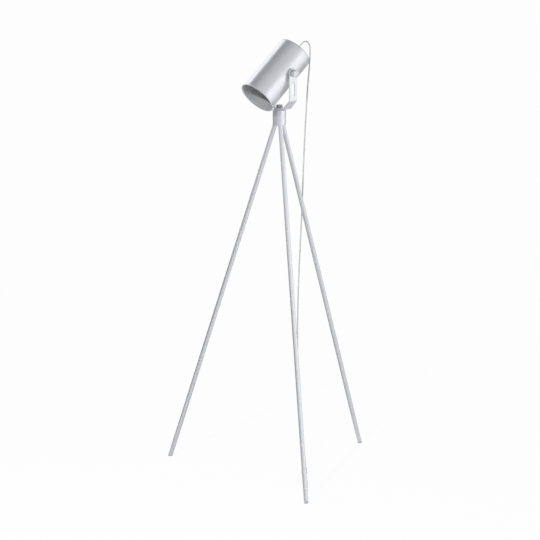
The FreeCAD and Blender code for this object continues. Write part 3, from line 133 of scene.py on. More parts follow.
class Value:
    """A shader socket. Sums, differences and products written on it add their Math nodes."""

    def __init__(self, finish, socket):
        self.finish = finish
        self.socket = socket

    def worked(self, operation, first, second, clamp=False):
        """What a Math node makes of two Values or numbers."""
        settings = {"operation": operation, "use_clamp": clamp}
        return self.finish.node("ShaderNodeMath", settings, {0: first, 1: second})

    def __add__(self, other):
        return self.worked("ADD", self, other)

    __radd__ = __add__

    def __sub__(self, other):
        return self.worked("SUBTRACT", self, other)

    def __rsub__(self, other):
        return self.worked("SUBTRACT", other, self)

    def __mul__(self, other):
        return self.worked("MULTIPLY", self, other)

    __rmul__ = __mul__

    def held(self):
        """The value, kept from 0 to 1."""
        return self.worked("ADD", self, 0.0, clamp=True)

    def between(self, low, high):
        """0 up to low and 1 from high, with a smooth step between them."""
        settings = {"interpolation_type": "SMOOTHSTEP"}
        return self.finish.node("ShaderNodeMapRange", settings, {0: self, 1: low, 2: high})


class Finish:
    """The nodes of one material."""

    def __init__(self, name):
        self.material = bpy.data.materials.new(name)
        self.material.use_nodes = True
        self.tree = self.material.node_tree
        self.shader = self.tree.nodes["Principled BSDF"]

    def node(self, kind, settings=None, sockets=None, out=0):
        """Any node, by its type, its settings and what its sockets hold or take."""
        made = self.tree.nodes.new(kind)
        for name, value in (settings or {}).items():
            setattr(made, name, value)
        for name, value in (sockets or {}).items():
            self.feed(made.inputs[name], value)
        return Value(self, made.outputs[out])

    def feed(self, socket, value):
        """Links a Value to the socket, or sets the socket to a plain number or colour."""
        if isinstance(value, Value):
            self.tree.links.new(value.socket, socket)
        else:
            socket.default_value = value

    def set(self, **values):
        """Sets or links the Principled shader's sockets. Underlines stand for spaces."""
        for name, value in values.items():
            self.feed(self.shader.inputs[name.replace("_", " ")], value)

    def here(self, stretch=(1, 1, 1)):
        """The piece's own coordinates, in metres, stretched for a drawn-out grain."""
        place = self.node("ShaderNodeTexCoord", out="Object")
        if stretch == (1, 1, 1):
            return place
        settings = {"operation": "MULTIPLY"}
        return self.node("ShaderNodeVectorMath", settings, {0: place, 1: stretch})

    def along(self):
        """The piece's own UV: x round it and y along its outline, in metres."""
        return self.node("ShaderNodeTexCoord", out="UV")

    def noise(self, scale, detail, place=None):
        """Cloudy values about 0.5, with scale cells to the metre."""
        sockets = {"Vector": place or self.here(), "Scale": scale, "Detail": detail}
        return self.node("ShaderNodeTexNoise", None, sockets)

    def part(self, place, axis):
        """One number of a place: X, Y or Z."""
        return self.node("ShaderNodeSeparateXYZ", None, {0: place}, out=axis)

    def mixed(self, factor, first, second):
        """A colour between two colours."""
        settings = {"data_type": "RGBA"}
        return self.node("ShaderNodeMix", settings, {0: factor, 6: first, 7: second}, out=2)

    def bump(self, height, depth, strength):
        """Feeds the surface's Normal with a height of 0 to 1, depth metres deep."""
        sockets = {"Height": height, "Distance": depth, "Strength": strength}
        self.set(Normal=self.node("ShaderNodeBump", None, sockets))


def tint(color, factor):
    """The colour made lighter or darker by a factor, with its alpha."""
    return tuple(min(1.0, part * factor) for part in color) + (1.0,)


def scuffed_near_floor(finish, top=0.03):
    """1 on fine scattered scuffs in the lowest few centimetres, 0 above them."""
    low = 1 - finish.part(finish.here(), "Z").between(0.004, top)
    return low * finish.noise(900, 4).between(0.54, 0.72)


def satin_paint(name, color, metallic=0.8, roughness=0.33, floor_scuffs=False):
    """Sprayed silver enamel: a fine orange peel, metal flake and faint handling marks."""
    finish = Finish(name)
    flake = finish.noise(5200, 1.0)
    cloud = finish.noise(9, 3.0)
    smear = finish.noise(38, 4.0, finish.here((1, 1, 0.35)))
    peel = finish.noise(950, 2.0)
    light = (flake - 0.5) * 0.16 + (cloud - 0.5) * 0.10 + 0.5
    shade = finish.mixed(light.held(), tint(color, 0.90), tint(color, 1.10))
    rough = roughness + (smear - 0.5) * 0.12 + (flake - 0.5) * 0.08
    if floor_scuffs:
        scuffs = scuffed_near_floor(finish)
        rubbed = (0.36, 0.36, 0.35, 1)
        shade = finish.mixed(scuffs * 0.35, shade, rubbed)
        rough = rough + scuffs * 0.2
    finish.set(Base_Color=shade, Metallic=metallic, Roughness=rough.held())
    finish.bump(peel + flake * 0.3, 0.06 * MM, 0.35)
    return finish.material


def inside_darkened_as_painted_shade():
    """The same enamel inside the shade, in a darker colour that paints shade into the inside, and more
    matt.
    """
    return satin_paint("inside_darkened_as_painted_shade", (0.44, 0.448, 0.454), metallic=0.30, roughness=0.48)


def turned_metal(name, color, roughness, metallic):
    """Metal cut on a lathe: fine rings that follow the outline, and thin marks round it."""
    finish = Finish(name)
    line = finish.part(finish.along(), "Y")
    rings = finish.node(
        "ShaderNodeTexNoise",
        {"noise_dimensions": "1D"},
        {"W": line, "Scale": 5200.0, "Detail": 3.0},
    )
    cloud = finish.noise(120, 3.0)
    shade = finish.mixed((rings * 0.5 + cloud * 0.5).held(), tint(color, 0.86), tint(color, 1.1))
    rough = roughness + (rings - 0.5) * 0.14 + (cloud - 0.5) * 0.1
    finish.set(Base_Color=shade, Metallic=metallic, Roughness=rough.held())
    finish.bump(rings, 0.03 * MM, 0.5)
    return finish.material


def plated_metal(name, color, roughness=0.3):
    """Zinc-plated or pressed metal without a lathe's rings."""
    finish = Finish(name)
    grain = finish.noise(1800, 3.0)
    cloud = finish.noise(90, 4.0)
    shade = finish.mixed(cloud.held(), tint(color, 0.85), tint(color, 1.1))
    rough = roughness + (grain - 0.5) * 0.16 + (cloud - 0.5) * 0.14
    finish.set(Base_Color=shade, Metallic=1.0, Roughness=rough.held())
    finish.bump(grain, 0.03 * MM, 0.4)
    return finish.material


def moulded(name, color, roughness=0.45, gloss=0.0, floor_scuffs=False):
    """Moulded plastic with a fine spark-eroded grain and faint flow clouds."""
    finish = Finish(name)
    pores = finish.noise(1400, 2.0)
    cloud = finish.noise(60, 3.0)
    shade = finish.mixed((cloud * 0.7 + pores * 0.3).held(), tint(color, 0.91), tint(color, 1.07))
    rough = roughness + (pores - 0.5) * 0.14 + (cloud - 0.5) * 0.08
    if floor_scuffs:
        scuffs = scuffed_near_floor(finish, 0.02)
        rubbed = (0.24, 0.24, 0.23, 1)
        shade = finish.mixed(scuffs * 0.4, shade, rubbed)
        rough = rough + scuffs * 0.2
    finish.set(Base_Color=shade, Roughness=rough.held(), Coat_Weight=gloss)
    finish.bump(pores, 0.08 * MM, 0.4)
    return finish.material


def cord_sheath(name, color):
    """Extruded PVC: a soft sheen, drawn-out streaks along the cord and dull rubbed patches."""
    finish = Finish(name)
    drawn_out = finish.node(
        "ShaderNodeVectorMath",
        {"operation": "MULTIPLY"},
        {0: finish.along(), 1: (24, 160, 1)},
    )
    streaks = finish.noise(1.0, 3.0, drawn_out)
    rubbed = finish.noise(26, 4.0).between(0.42, 0.66)
    shade = finish.mixed((streaks * 0.6 + rubbed * 0.3).held(), tint(color, 0.9), tint(color, 1.1))
    finish.set(Base_Color=shade, Roughness=(0.40 + (rubbed - 0.5) * 0.16).held())
    finish.bump(streaks, 0.06 * MM, 0.4)
    return finish.material


def strap_weave(name, color):
    """Woven nylon strap: ribs across it, with fine yarn along each rib."""
    finish = Finish(name)
    place = finish.here()
    rib = finish.node(
        "ShaderNodeTexWave",
        {"bands_direction": "Z", "wave_profile": "SIN"},
        {"Vector": place, "Scale": 480.0, "Distortion": 0.6, "Detail": 1.0},
    )
    yarn = finish.noise(4200, 2.0)
    shade = finish.mixed((rib * 0.6 + yarn * 0.4).held(), tint(color, 0.62), tint(color, 1.2))
    finish.set(Base_Color=shade, Roughness=0.82)
    finish.bump(rib * 0.7 + yarn * 0.3, 0.25 * MM, 0.7)
    return finish.material


def frosted(name, color):
    """A frosted diffuser: white inside the wall, with a fine even etch."""
    finish = Finish(name)
    etch = finish.noise(2600, 2.0)
    shade = finish.mixed(finish.noise(70, 2.0), tint(color, 0.95), tint(color, 1.03))
    finish.set(Base_Color=shade, Roughness=(0.38 + (etch - 0.5) * 0.2).held(), Coat_Weight=0.2)
    finish.bump(etch, 0.04 * MM, 0.4)
    return finish.material


SILVER = (0.766, 0.786, 0.822)
# a darker grey for the back cap's rim: a painted shade along the shade's back edge
CAP_RIM_PAINTED_SHADE_GREY = (0.42, 0.435, 0.455)
FINISHES = {
    "silver_paint": satin_paint("silver_paint", SILVER, floor_scuffs=True),
    "shade_paint": satin_paint("shade_paint", SILVER),
    "hub_metal": satin_paint("hub_metal", SILVER),
    "bright_steel": plated_metal("bright_steel", (0.51, 0.515, 0.52)),
    "knob_metal": turned_metal("knob_metal", (0.70, 0.705, 0.735), 0.34, 0.85),
    "bush_plastic": moulded("bush_plastic", (0.52, 0.53, 0.53)),
    "foot_plastic": moulded("foot_plastic", (0.42, 0.43, 0.43), floor_scuffs=True),
    "cord_grey": cord_sheath("cord_grey", (0.47, 0.48, 0.485)),
    "grip_plastic": moulded("grip_plastic", (0.52, 0.53, 0.53)),
    "switch_plastic": moulded("switch_plastic", (0.52, 0.53, 0.53), 0.38, gloss=0.1),
    "rocker_plastic": moulded("rocker_plastic", (0.46, 0.47, 0.47), 0.28, gloss=0.2),
    "plug_plastic": moulded("plug_plastic", (0.52, 0.53, 0.53), 0.42),
    "sleeve_plastic": moulded("sleeve_plastic", (0.03, 0.03, 0.03), 0.4),
    "brass_contact": plated_metal("brass_contact", (0.74, 0.70, 0.60), 0.22),
    "holder_plastic": moulded("holder_plastic", (0.80, 0.79, 0.75), 0.4),
    "holder_ceramic": moulded("holder_ceramic", (0.86, 0.85, 0.81), 0.22, gloss=0.3),
    "bulb_white": moulded("bulb_white", (0.86, 0.86, 0.85), 0.32, gloss=0.2),
    "bulb_glass": frosted("bulb_glass", (0.90, 0.90, 0.88)),
    "tie_plastic": strap_weave("tie_plastic", (0.40, 0.41, 0.41)),
    "core_insulation": moulded("core_insulation", (0.20, 0.12, 0.08), 0.4),
}
SLOTS = {part["node"]: part["material_slot"] for part in frame["record"]["subparts"]}


# ---------------------------------------------------------------- surfaces worked out with numpy

SHARP_EDGE = math.radians(30)


def to_object(name, mesh):
    """A piece at the origin, smooth except over its sharp edges."""
    made = bpy.data.objects.new(name, mesh)
    bpy.context.scene.collection.objects.link(made)
    mesh.shade_smooth()
    mesh.set_sharp_from_angle(angle=SHARP_EDGE)
    return made


def set_in_place(points, place):
    """Points in mm, moved by a matrix whose place is in metres."""
    matrix = np.array(place)
    return points * MM @ matrix[:3, :3].T + matrix[:3, 3]


def woven(name, points, closed_rows, uv=None):
    """A mesh over a grid of points. Columns go round and close on themselves. Rows close too
    where closed_rows is true. Face (i, j) joins points (i, j), (i, j+1), (i+1, j+1), (i+1, j)."""
    rows, columns = points.shape[:2]
    faced_rows = rows if closed_rows else rows - 1
    i, j = np.meshgrid(np.arange(faced_rows), np.arange(columns), indexing="ij")
    row, next_row = i * columns, (i + 1) % rows * columns
    beside = (j + 1) % columns
    corners = np.stack([row + j, row + beside, next_row + beside, next_row + j], -1)
    mesh = bpy.data.meshes.new(name)
    mesh.from_pydata(points.reshape(-1, 3), [], corners.reshape(-1, 4))
    if uv is not None:
        around, along = uv
        u = np.stack([around[j], around[j + 1], around[j + 1], around[j]], -1)
        v = np.stack([along[i], along[i], along[i + 1], along[i + 1]], -1)
        layer = mesh.uv_layers.new(name="UVMap")
        layer.data.foreach_set("uv", np.stack([u, v], -1).astype(np.float32).ravel())
    shell = bmesh.new()
    shell.from_mesh(mesh)
    bmesh.ops.remove_doubles(shell, verts=shell.verts, dist=1e-7)
    bmesh.ops.recalc_face_normals(shell, faces=shell.faces)
    shell.to_mesh(mesh)
    shell.free()
    return to_object(name, mesh)


# the most that a rounded corner turns from one of its points to the next, in radians
ARC_STEP = 0.26


def rounded(corners, closed):
    """An outline through (radius, height, rounding) corners, in mm. A corner with a rounding r
    becomes an arc of radius r tangent to both sides. It starts r / tan(half angle) before the
    corner, and a point 0.4 r further out on each side keeps the flat beside it flat."""
    line = []
    count = len(corners)
    for n, (x, y, radius) in enumerate(corners):
        corner = np.array((x, y), float)
        if radius == 0 or (not closed and n in (0, count - 1)):
            line.append(corner)
            continue
        before = np.array(corners[n - 1][:2], float) - corner
        after = np.array(corners[(n + 1) % count][:2], float) - corner
        reaches = np.linalg.norm(before), np.linalg.norm(after)
        before, after = before / reaches[0], after / reaches[1]
        half = math.acos(np.clip(before @ after, -1, 1)) / 2
        reach = min(radius / math.tan(half), 0.45 * min(reaches))
        radius = reach * math.tan(half)
        bisector = (before + after) / np.linalg.norm(before + after)
        centre = corner + bisector * radius / math.sin(half)
        start, end = corner + before * reach - centre, corner + after * reach - centre
        swept = math.pi - 2 * half
        share = np.linspace(0, 1, max(3, int(swept / ARC_STEP) + 2))[:, None]
        arc = (np.sin((1 - share) * swept) * start + np.sin(share * swept) * end) / math.sin(swept)
        spare = 0.4 * reach
        line.append(corner + before * (reach + min(spare, 0.1 * reaches[0])))
        line.extend(arc + centre)
        line.append(corner + after * (reach + min(spare, 0.1 * reaches[1])))
    return np.array(line)


def lathe(name, corners, place, steps, closed=True, spacing=None):
    """A surface of revolution about local Z: (r cos a, r sin a, z) for each (r, z) of the
    outline, in mm. Corners with a third number are rounded by it."""
    outline = rounded(corners, closed) if len(corners[0]) == 3 else np.array(corners, float)
    if spacing:
        outline = respaced(outline, spacing)
    angle = np.linspace(0, 2 * np.pi, steps, endpoint=False)
    radius, height = outline[:, :1], outline[:, 1:]
    points = np.stack([radius * np.cos(angle), radius * np.sin(angle), height + 0 * angle], -1)
    looped = np.vstack([outline, outline[:1]]) if closed else outline
    run = np.concatenate([[0], np.cumsum(np.linalg.norm(np.diff(looped, axis=0), axis=1))]) * MM
    around = np.linspace(0, 1, steps + 1) * 2 * np.pi * float(outline[:, 0].max()) * MM
    return woven(name, set_in_place(points, place), closed, (around, run))


def respaced(outline, spacing):
    """The outline with points added so that none is further than that many mm from the next."""
    pieces = []
    for start, end in zip(outline, outline[1:]):
        count = max(1, int(np.ceil(np.linalg.norm(end - start) / spacing)))
        pieces.append(start + (end - start) * np.arange(count)[:, None] / count)
    return np.vstack(pieces + [outline[-1:]])


def tube(name, line, radius, reference):
    """A round tube along a line of points, in metres. At each point, side = reference less its
    share along the tangent, other = tangent x side, and the ring is
    radius (side cos a + other sin a). Both ends are closed by a fan to the line's own end."""
    sides = 20
    tangent = np.gradient(line, axis=0)
    tangent /= np.linalg.norm(tangent, axis=1, keepdims=True)
    side = reference - (tangent @ reference)[:, None] * tangent
    side /= np.linalg.norm(side, axis=1, keepdims=True)
    other = np.cross(tangent, side)
    angle = np.linspace(0, 2 * np.pi, sides, endpoint=False)[None, :, None]
    ring = side[:, None] * np.cos(angle) + other[:, None] * np.sin(angle)
    points = line[:, None] + radius * ring
    ends = np.repeat(line[[0, -1], None], sides, axis=1)
    points = np.concatenate([ends[:1], points, ends[1:]])
    run = np.concatenate([[0], np.cumsum(np.linalg.norm(np.diff(line, axis=0), axis=1))])
    run = np.concatenate([[0], run, run[-1:]])
    around = np.linspace(0, 2 * np.pi * radius, sides + 1)
    return woven(name, points, False, (around, run))


def finer(name, node, width):
    """A copy of a CAD node's solid, its doubles merged, its flat faces joined and its edges
    rounded by width, in mm."""
    doubles, flat = 1e-6, 0.01
    mesh = NODES[node].data.copy()
    mesh.name = name
    mesh.materials.clear()
    shell = bmesh.new()
    shell.from_mesh(mesh)
    bmesh.ops.remove_doubles(shell, verts=shell.verts, dist=doubles)
    bmesh.ops.dissolve_limit(shell, angle_limit=flat, verts=shell.verts, edges=shell.edges)
    bmesh.ops.recalc_face_normals(shell, faces=shell.faces)
    shell.to_mesh(mesh)
    shell.free()
    made = to_object(name, mesh)
    edge = made.modifiers.new("soft_edges", "BEVEL")
    edge.width = width * MM
    edge.segments = 2
    edge.limit_method = "ANGLE"
    edge.angle_limit = SHARP_EDGE
    edge.harden_normals = True
    return made


def paint(made, node):
    """Gives a piece its CAD node's finish. It comes before the piece rides, because a curve that
    is painted after that is measured a metre too large on every side."""
    made.data.materials.clear()
    made.data.materials.append(FINISHES[SLOTS[node]])


def dress(made, body, node):
    """The piece rides on its body and stands for its CAD node, in its finish."""
    paint(made, node)
    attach(made, body)
    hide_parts(node)
    return made


def soften(name, body, node, width):
    """The CAD node's own shape with its edges rounded by width, in mm."""
    return dress(finer(name, node, width), body, node)


# ---------------------------------------------------------------- cords
#
# The routes of the loop and the drop are in metres: from the grip to the yoke's side, down
# behind the right leg and onto the floor, to the switch.

# the cord's diameter
CORD = 0.005
IN_GRIP = (0.0656, 0.1385, 1.5252)
GRIP_TIP = (0.08123, 0.14636, 1.54009)
LOOP_ROUTE = [
    (0.0912, 0.1514, 1.5504),
    (0.1022, 0.1585, 1.5567),
    (0.1133, 0.1668, 1.5557),
    (0.1226, 0.1740, 1.5473),
    (0.1282, 0.1783, 1.5335),
    (0.12844, 0.17908, 1.5180),
]
DROP_ROUTE = [
    (0.12844, 0.17908, 1.5180),
    (0.1289, 0.1806, 1.4900),
    (0.1264, 0.1817, 1.4520),
    (0.1224, 0.1826, 1.4000),
    (0.1185, 0.1835, 1.3360),
    (0.1151, 0.1843, 1.2680),
    (0.1119, 0.1851, 1.1960),
    (0.1093, 0.1861, 1.1220),
    (0.1069, 0.1867, 1.0480),
    (0.1049, 0.1876, 0.9740),
    (0.1022, 0.1883, 0.9000),
    (0.0990, 0.1890, 0.8260),
    (0.0958, 0.1898, 0.7520),
    (0.0932, 0.1904, 0.6780),
    (0.0912, 0.1908, 0.6040),
    (0.0901, 0.1911, 0.5300),
    (0.0898, 0.1912, 0.4560),
    (0.0906, 0.1911, 0.3840),
    (0.0925, 0.1906, 0.3120),
    (0.0953, 0.1894, 0.2400),
    (0.0992, 0.1879, 0.1720),
    (0.1036, 0.1860, 0.1120),
    (0.1072, 0.1826, 0.0660),
    (0.1085, 0.1748, 0.0360),
    (0.1075, 0.1640, 0.0195),
    (0.1041, 0.1455, 0.0105),
    (0.0997, 0.1257, 0.0105),
]
# directions about square to the plane that each of the two bends in, where its rings start
LOOP_SIDE = np.array((-0.45, 0.89, 0.0))
DROP_SIDE = np.array((0.976, -0.216, 0.0))
# the strip of floor that the switch, the hank and the plug lie on: X runs along it
LANDING = Vector((0.0939, 0.0996, 0.0))
LANDING_TURN = -102.5
ON_LANDING = placed(LANDING, (LANDING_TURN, "Z"))
# one turn of the hank from its side: along the strip from its near end and up from its lower
# run, in mm, with the share of the sideways step that is done there
HANK_TURN = [
    (6.6, 0, 0),
    (28, 5.5, 0),
    (42.5, 9, 0),
    (57, 5.5, 0),
    (78.4, 0, 0),
    (91.6, 0, 0),
    (101, 9.4, 0),
    (101, 22.6, 0),
    (91.6, 32, 0),
    (78.4, 32, 0),
    (57, 26.5, 0.3),
    (42.5, 23, 0.5),
    (28, 26.5, 0.7),
    (6.6, 32, 1),
    (-6.6, 32, 1),
    (-16, 22.6, 1),
    (-16, 9.4, 1),
    (-6.6, 0, 1),
]
# where a turn starts along the strip, the pitch from turn to turn and the lowest height, in mm
HANK_NEAR, HANK_PITCH, HANK_LOW = 84.0, 5.6, 2.8
# how far the hank is pushed sideways, in mm, to lie behind the front leg from the camera
HANK_ASIDE = -2.0
# along the strip, sideways and up, in mm: from the switch to the hank, and from it to the plug
LEAD_IN = [(27, 0, 10.5), (42, 0, 10.5), (56, -2.6, 7.6), (69, -7.1, 2.9)]
LEAD_OUT = [
    (176, 3.6, 2.9),
    (190, 3.2, 6.2),
    (209, 0.6, 15.9),
    (226, 0, 17.5),
    (240, 0, 17.5),
    (253, 0, 17.5),
]


def hank_route():
    """Two whole turns and the lower run of a third, each a pitch further to the side."""
    points = list(LEAD_IN)
    for turn, places in enumerate((HANK_TURN, HANK_TURN, HANK_TURN[:5])):
        side = HANK_ASIDE + (turn - 1) * HANK_PITCH
        points += [(HANK_NEAR + x, side + step * HANK_PITCH, HANK_LOW + z) for x, z, step in places]
    return [tuple(ON_LANDING @ (Vector(p) * MM)) for p in points + LEAD_OUT]


def smooth_line(name, points):
    """One open NURBS spline with the route's points as its control points."""
    data = bpy.data.curves.new(name, "CURVE")
    data.dimensions = "3D"
    data.resolution_u = 10
    spline = data.splines.new("NURBS")
    spline.points.add(len(points) - 1)
    for point, place in zip(spline.points, points):
        point.co = (*place, 1.0)
    spline.order_u = 3
    spline.use_endpoint_u = True
    made = bpy.data.objects.new(name, data)
    bpy.context.scene.collection.objects.link(made)
    return made


def read_line(curve):
    """The points of a curve with no bevel, as an array. The curve itself is then removed."""
    bpy.context.view_layer.update()
    mesh = bpy.data.meshes.new_from_object(curve)
    line = np.empty(len(mesh.vertices) * 3)
    mesh.vertices.foreach_get("co", line)
    bpy.data.meshes.remove(mesh)
    bpy.data.objects.remove(curve)
    return line.reshape(-1, 3)


def make_loop():
    """The cord's loop behind the head, between head and yoke."""
    loop_line = read_line(smooth_line("loop_line", [IN_GRIP, GRIP_TIP] + LOOP_ROUTE))
    loop = tube("cord_loop_sheath", loop_line, CORD / 2, LOOP_SIDE)
    paint(loop, "cord_loop")
    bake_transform(loop)
    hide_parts("cord_loop")


def make_drop():
    """The long hanging cord between yoke and tripod, and the switch at its end."""
    drop_line = read_line(smooth_line("drop_line", DROP_ROUTE))
    drop = tube("cord_drop_sheath", drop_line, CORD / 2, DROP_SIDE)
    paint(drop, "cord_drop")
    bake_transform(drop)
    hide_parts("cord_drop")
    make_switch()


def make_hank():
    """The rest of the cord, tied in a hank on the floor, as a curve with a round bevel."""
    route = hank_route()
    hank_line = read_line(smooth_line("hank_line", route))
    hank = smooth_line("cord_hank_sheath", route)
    hank.data.bevel_depth = CORD / 2
    hank.data.bevel_resolution = 5
    hank.data.use_fill_caps = True
    dress(hank, "tripod", "cord_hank")
    [make_tie()] + make_plug()


def make_switch():
    """The inline switch's two halves, its rocker, boots and screws, with softened edges."""
    return [
        soften("switch_cover_moulded", "tripod", "switch_cover", 0.3),
        soften("switch_base_moulded", "tripod", "switch_base", 0.3),
        soften("switch_rocker_moulded", "rocker", "switch_rocker", 0.25),
        soften("switch_boots_moulded", "tripod", "switch_boots", 0.2),
        soften("switch_screw_heads", "tripod", "switch_screws", 0.2),
    ]


def make_plug():
    """The flat plug, its pins and sleeves, and the ribbed relief behind it."""
    return [
        soften("plug_moulded", "tripod", "plug_body", 0.4),
        soften("plug_pins_turned", "tripod", "plug_pins", 0.3),
        soften("plug_sleeves_moulded", "tripod", "plug_pin_sleeves", 0.15),
        soften("plug_relief_ribbed", "tripod", "plug_relief", 0.2),
    ]


def make_tie():
    """A strap round the hank. At angle t its middle is c (cos t, sin t) plus the corner centre
    nearest to t, which slides straight across between two corners. Its section lies along the
    strip and outwards, its edges wave by 0.15 sin 9t, and its lapped end stands 0.55 mm out."""
    strap_at, middle_height = 126.5, 18.8
    thick, half_wide, half_high, corner, slide = 1.2, 9.0, 11.4, 3.1, 2.2
    trim, wave, lap, lap_at, lap_reach = 0.96, 0.15, 0.55, 1.2, 0.5
    turn = np.linspace(0, 2 * np.pi, 120, endpoint=False)
    nearest = np.stack([np.cos(turn), np.sin(turn)], -1)
    core = np.array((half_wide - corner, half_high - corner))
    place = np.sign(nearest) * core * np.minimum(1, np.abs(nearest) * slide) + corner * nearest
    inner = [(-5, -0.6), (-4.7, -1), (0, -1), (4.7, -1), (5, -0.6)]
    outer = [(5, 0.6), (4.7, 1), (0, 1), (-4.7, 1), (-5, 0.6)]
    width, depth = np.array(inner + outer).T[:, None]
    lapped = lap * np.exp(-(((turn - lap_at) / lap_reach) ** 4))[:, None]
    out = depth * thick / 2 * trim + lapped * (depth + 1) / 2
    along = strap_at + width * trim + wave * np.sin(9 * turn)[:, None]
    across = HANK_ASIDE + place[:, :1] + nearest[:, :1] * out
    up = middle_height + place[:, 1:] + nearest[:, 1:] * out
    points = set_in_place(np.stack([along, across, up], -1), ON_LANDING)
    return dress(woven("tie_strap", points, True), "tripod", "hank_tie")


# ---------------------------------------------------------------- tripod


def make_legs():
    """Straight tubes: a ring outline drawn down each leg's axis, from inside the hub to the cap
    that closes the end on the floor."""
    bore, radius, top, axis_length, cap = 6.8, 8.0, 34.0, 1385.82, 5.5
    bottom = axis_length - cap
    outline = [(bore, top, 0), (radius, top, 0.3), (radius, bottom, 0.25), (bore, bottom, 0)]
    for leg in LEG_TURNS:
        made = lathe(f"leg_{leg}_tube", outline, along_leg(leg), 64, spacing=60)
        dress(made, "tripod", f"leg_{leg}")


def make_feet():
    """The moulded caps on the legs' ends."""
    for leg in LEG_TURNS:
        soften(f"foot_{leg}_moulded", "tripod", f"foot_{leg}", 0.3)


def make_hub():
    """The turned hub, closed below, where the legs enter it, and open for the bolt above, with
    the disc, the washer and the bolt that hold the yoke on it."""
    radius, height, bore, depth = 24, 55.8, 6.05, 20
    outline = [
        (0, 0, 0),
        (radius - 3.5, 0, 0.6),
        (radius, 3.5, 0.6),
        (radius, height - 1, 0.4),
        (radius - 1, height, 0.4),
        (bore, height, 0),
        (bore, height - depth, 0),
        (0, height - depth, 0),
    ]
    made = lathe("hub_turned", outline, on_hub(HUB_BOTTOM), 128, closed=False)
    dress(made, "tripod", "hub")
    disc = [(bore, 0, 0), (19.5, 0, 0.5), (19.5, 5, 0.8), (bore, 5, 0)]
    made = lathe("swivel_disc_turned", disc, on_hub(DISC_BOTTOM), 96)
    dress(made, "tripod", "swivel_disc")
    washer = [(bore, 0, 0), (13, 0, 0.2), (13, 1.8, 0.35), (bore, 1.8, 0)]
    made = lathe("swivel_washer_pressed", washer, on_hub(WASHER_BOTTOM), 64)
    dress(made, "tripod", "swivel_washer")
    soften("swivel_bolt_plated", "tripod", "swivel_bolt", 0.25)


def make_yoke():
    """The folded bar, as in the CAD, with softened edges."""
    soften("yoke_bar", "yoke_frame", "yoke", 0.45)


# ---------------------------------------------------------------- knobs and pivots
#
# Heights are from the middle of the head outwards, along the tilt axis.


def make_bushes():
    """The flanged bushes: a flange inside the wall, a neck through it and a spacer outside."""
    bore, inside, wall_inside, wall_outside, arm = 3.1, 59.8, 61.8, 64.3, 71.9
    outline = [
        (bore, inside, 0),
        (9, inside, 0.5),
        (9, wall_inside, 0.2),
        (5, wall_inside, 0),
        (5, wall_outside, 0),
        (8, wall_outside, 0.3),
        (8, arm, 0.3),
        (bore, arm, 0),
    ]
    for side, place in ON_PIVOT.items():
        made = lathe(f"{side}_bush_moulded", outline, place, 64)
        dress(made, "head", f"{side}_pivot_bush")


def make_knobs():
    """Plain turned knobs with a shallow dished face, each on its washer."""
    arm, washer_top, back, face, dish, radius = 76.1, 77.3, 77.4, 92.4, 91.2, 13
    washer = [(3.05, arm, 0), (9, arm, 0.2), (9, washer_top, 0.3), (3.05, washer_top, 0)]
    knob = [
        (3.1, back, 0),
        (radius - 0.5, back, 0.4),
        (radius, back + 0.5, 0.3),
        (radius, face - 1, 0.35),
        (radius - 1, face, 0.35),
        (10, face, 0.2),
        (9.6, dish, 0.6),
        (0, dish, 0),
    ]
    for side, place in ON_PIVOT.items():
        made = lathe(f"{side}_washer_pressed", washer, place, 64)
        dress(made, f"{side}_knob", f"{side}_knob_washer")
        made = lathe(f"{side}_knob_turned", knob, place, 96, closed=False)
        dress(made, f"{side}_knob", f"{side}_tilt_knob")


# ---------------------------------------------------------------- head
#
# Heights run along the head's axis from the tilt axis: above 0 to the back, below 0 to the mouth.

SHADE_BACK = 90.2


def faces_in_head(made):
    """How far each face of a piece lies from the head's axis and along it, in mm."""
    places = np.empty(len(made.data.polygons) * 3)
    made.data.polygons.foreach_get("center", places)
    own = np.array(IN_HEAD.inverted())
    places = places.reshape(-1, 3) @ own[:3, :3].T + own[:3, 3]
    return np.hypot(places[:, 0], places[:, 1]) / MM, places[:, 2] / MM


def make_shade():
    """The spun tube and its rolled bead: wall, flare, the bead's circle, and the wall inside.
    The bead is (65.5 + 1.9 cos t, -133.1 + 1.9 sin t)."""
    outer, inner, back, flare = 64, 62.8, SHADE_BACK, -124
    bead_radius, bead_height, bead_round = 65.5, -133.1, 1.9
    turn = np.radians(np.linspace(112, -196, 22))
    bead = np.stack([np.cos(turn), np.sin(turn)], -1) * bead_round + (bead_radius, bead_height)
    outside = [(outer, back), (outer, back - 0.4), (outer, flare), (outer, flare - 2.2)]
    outside += [(outer + 0.12, -128), (outer + 0.4, -129.8)]
    inside = [(inner + 0.35, -130.4), (inner + 0.06, -128.4), (inner, flare - 2.4)]
    inside += [(inner, flare), (inner, back)]
    outline = np.vstack([outside, bead, inside])
    outline = respaced(np.vstack([outline, outline[:1]]), 24)[:-1]
    made = lathe("shade_spun", outline, IN_HEAD, 192)
    dress(made, "head", "shade")
    # the inner wall's faces take the darker enamel, a painted shade for the inside of the tube
    made.data.materials.append(inside_darkened_as_painted_shade())
    between_walls, above_bead = 63.6, -130.8
    radius, height = faces_in_head(made)
    inner_faces_with_painted_shade = (radius < between_walls) & (height > above_bead)
    made.data.polygons.foreach_set("material_index", inner_faces_with_painted_shade.astype(np.int32))


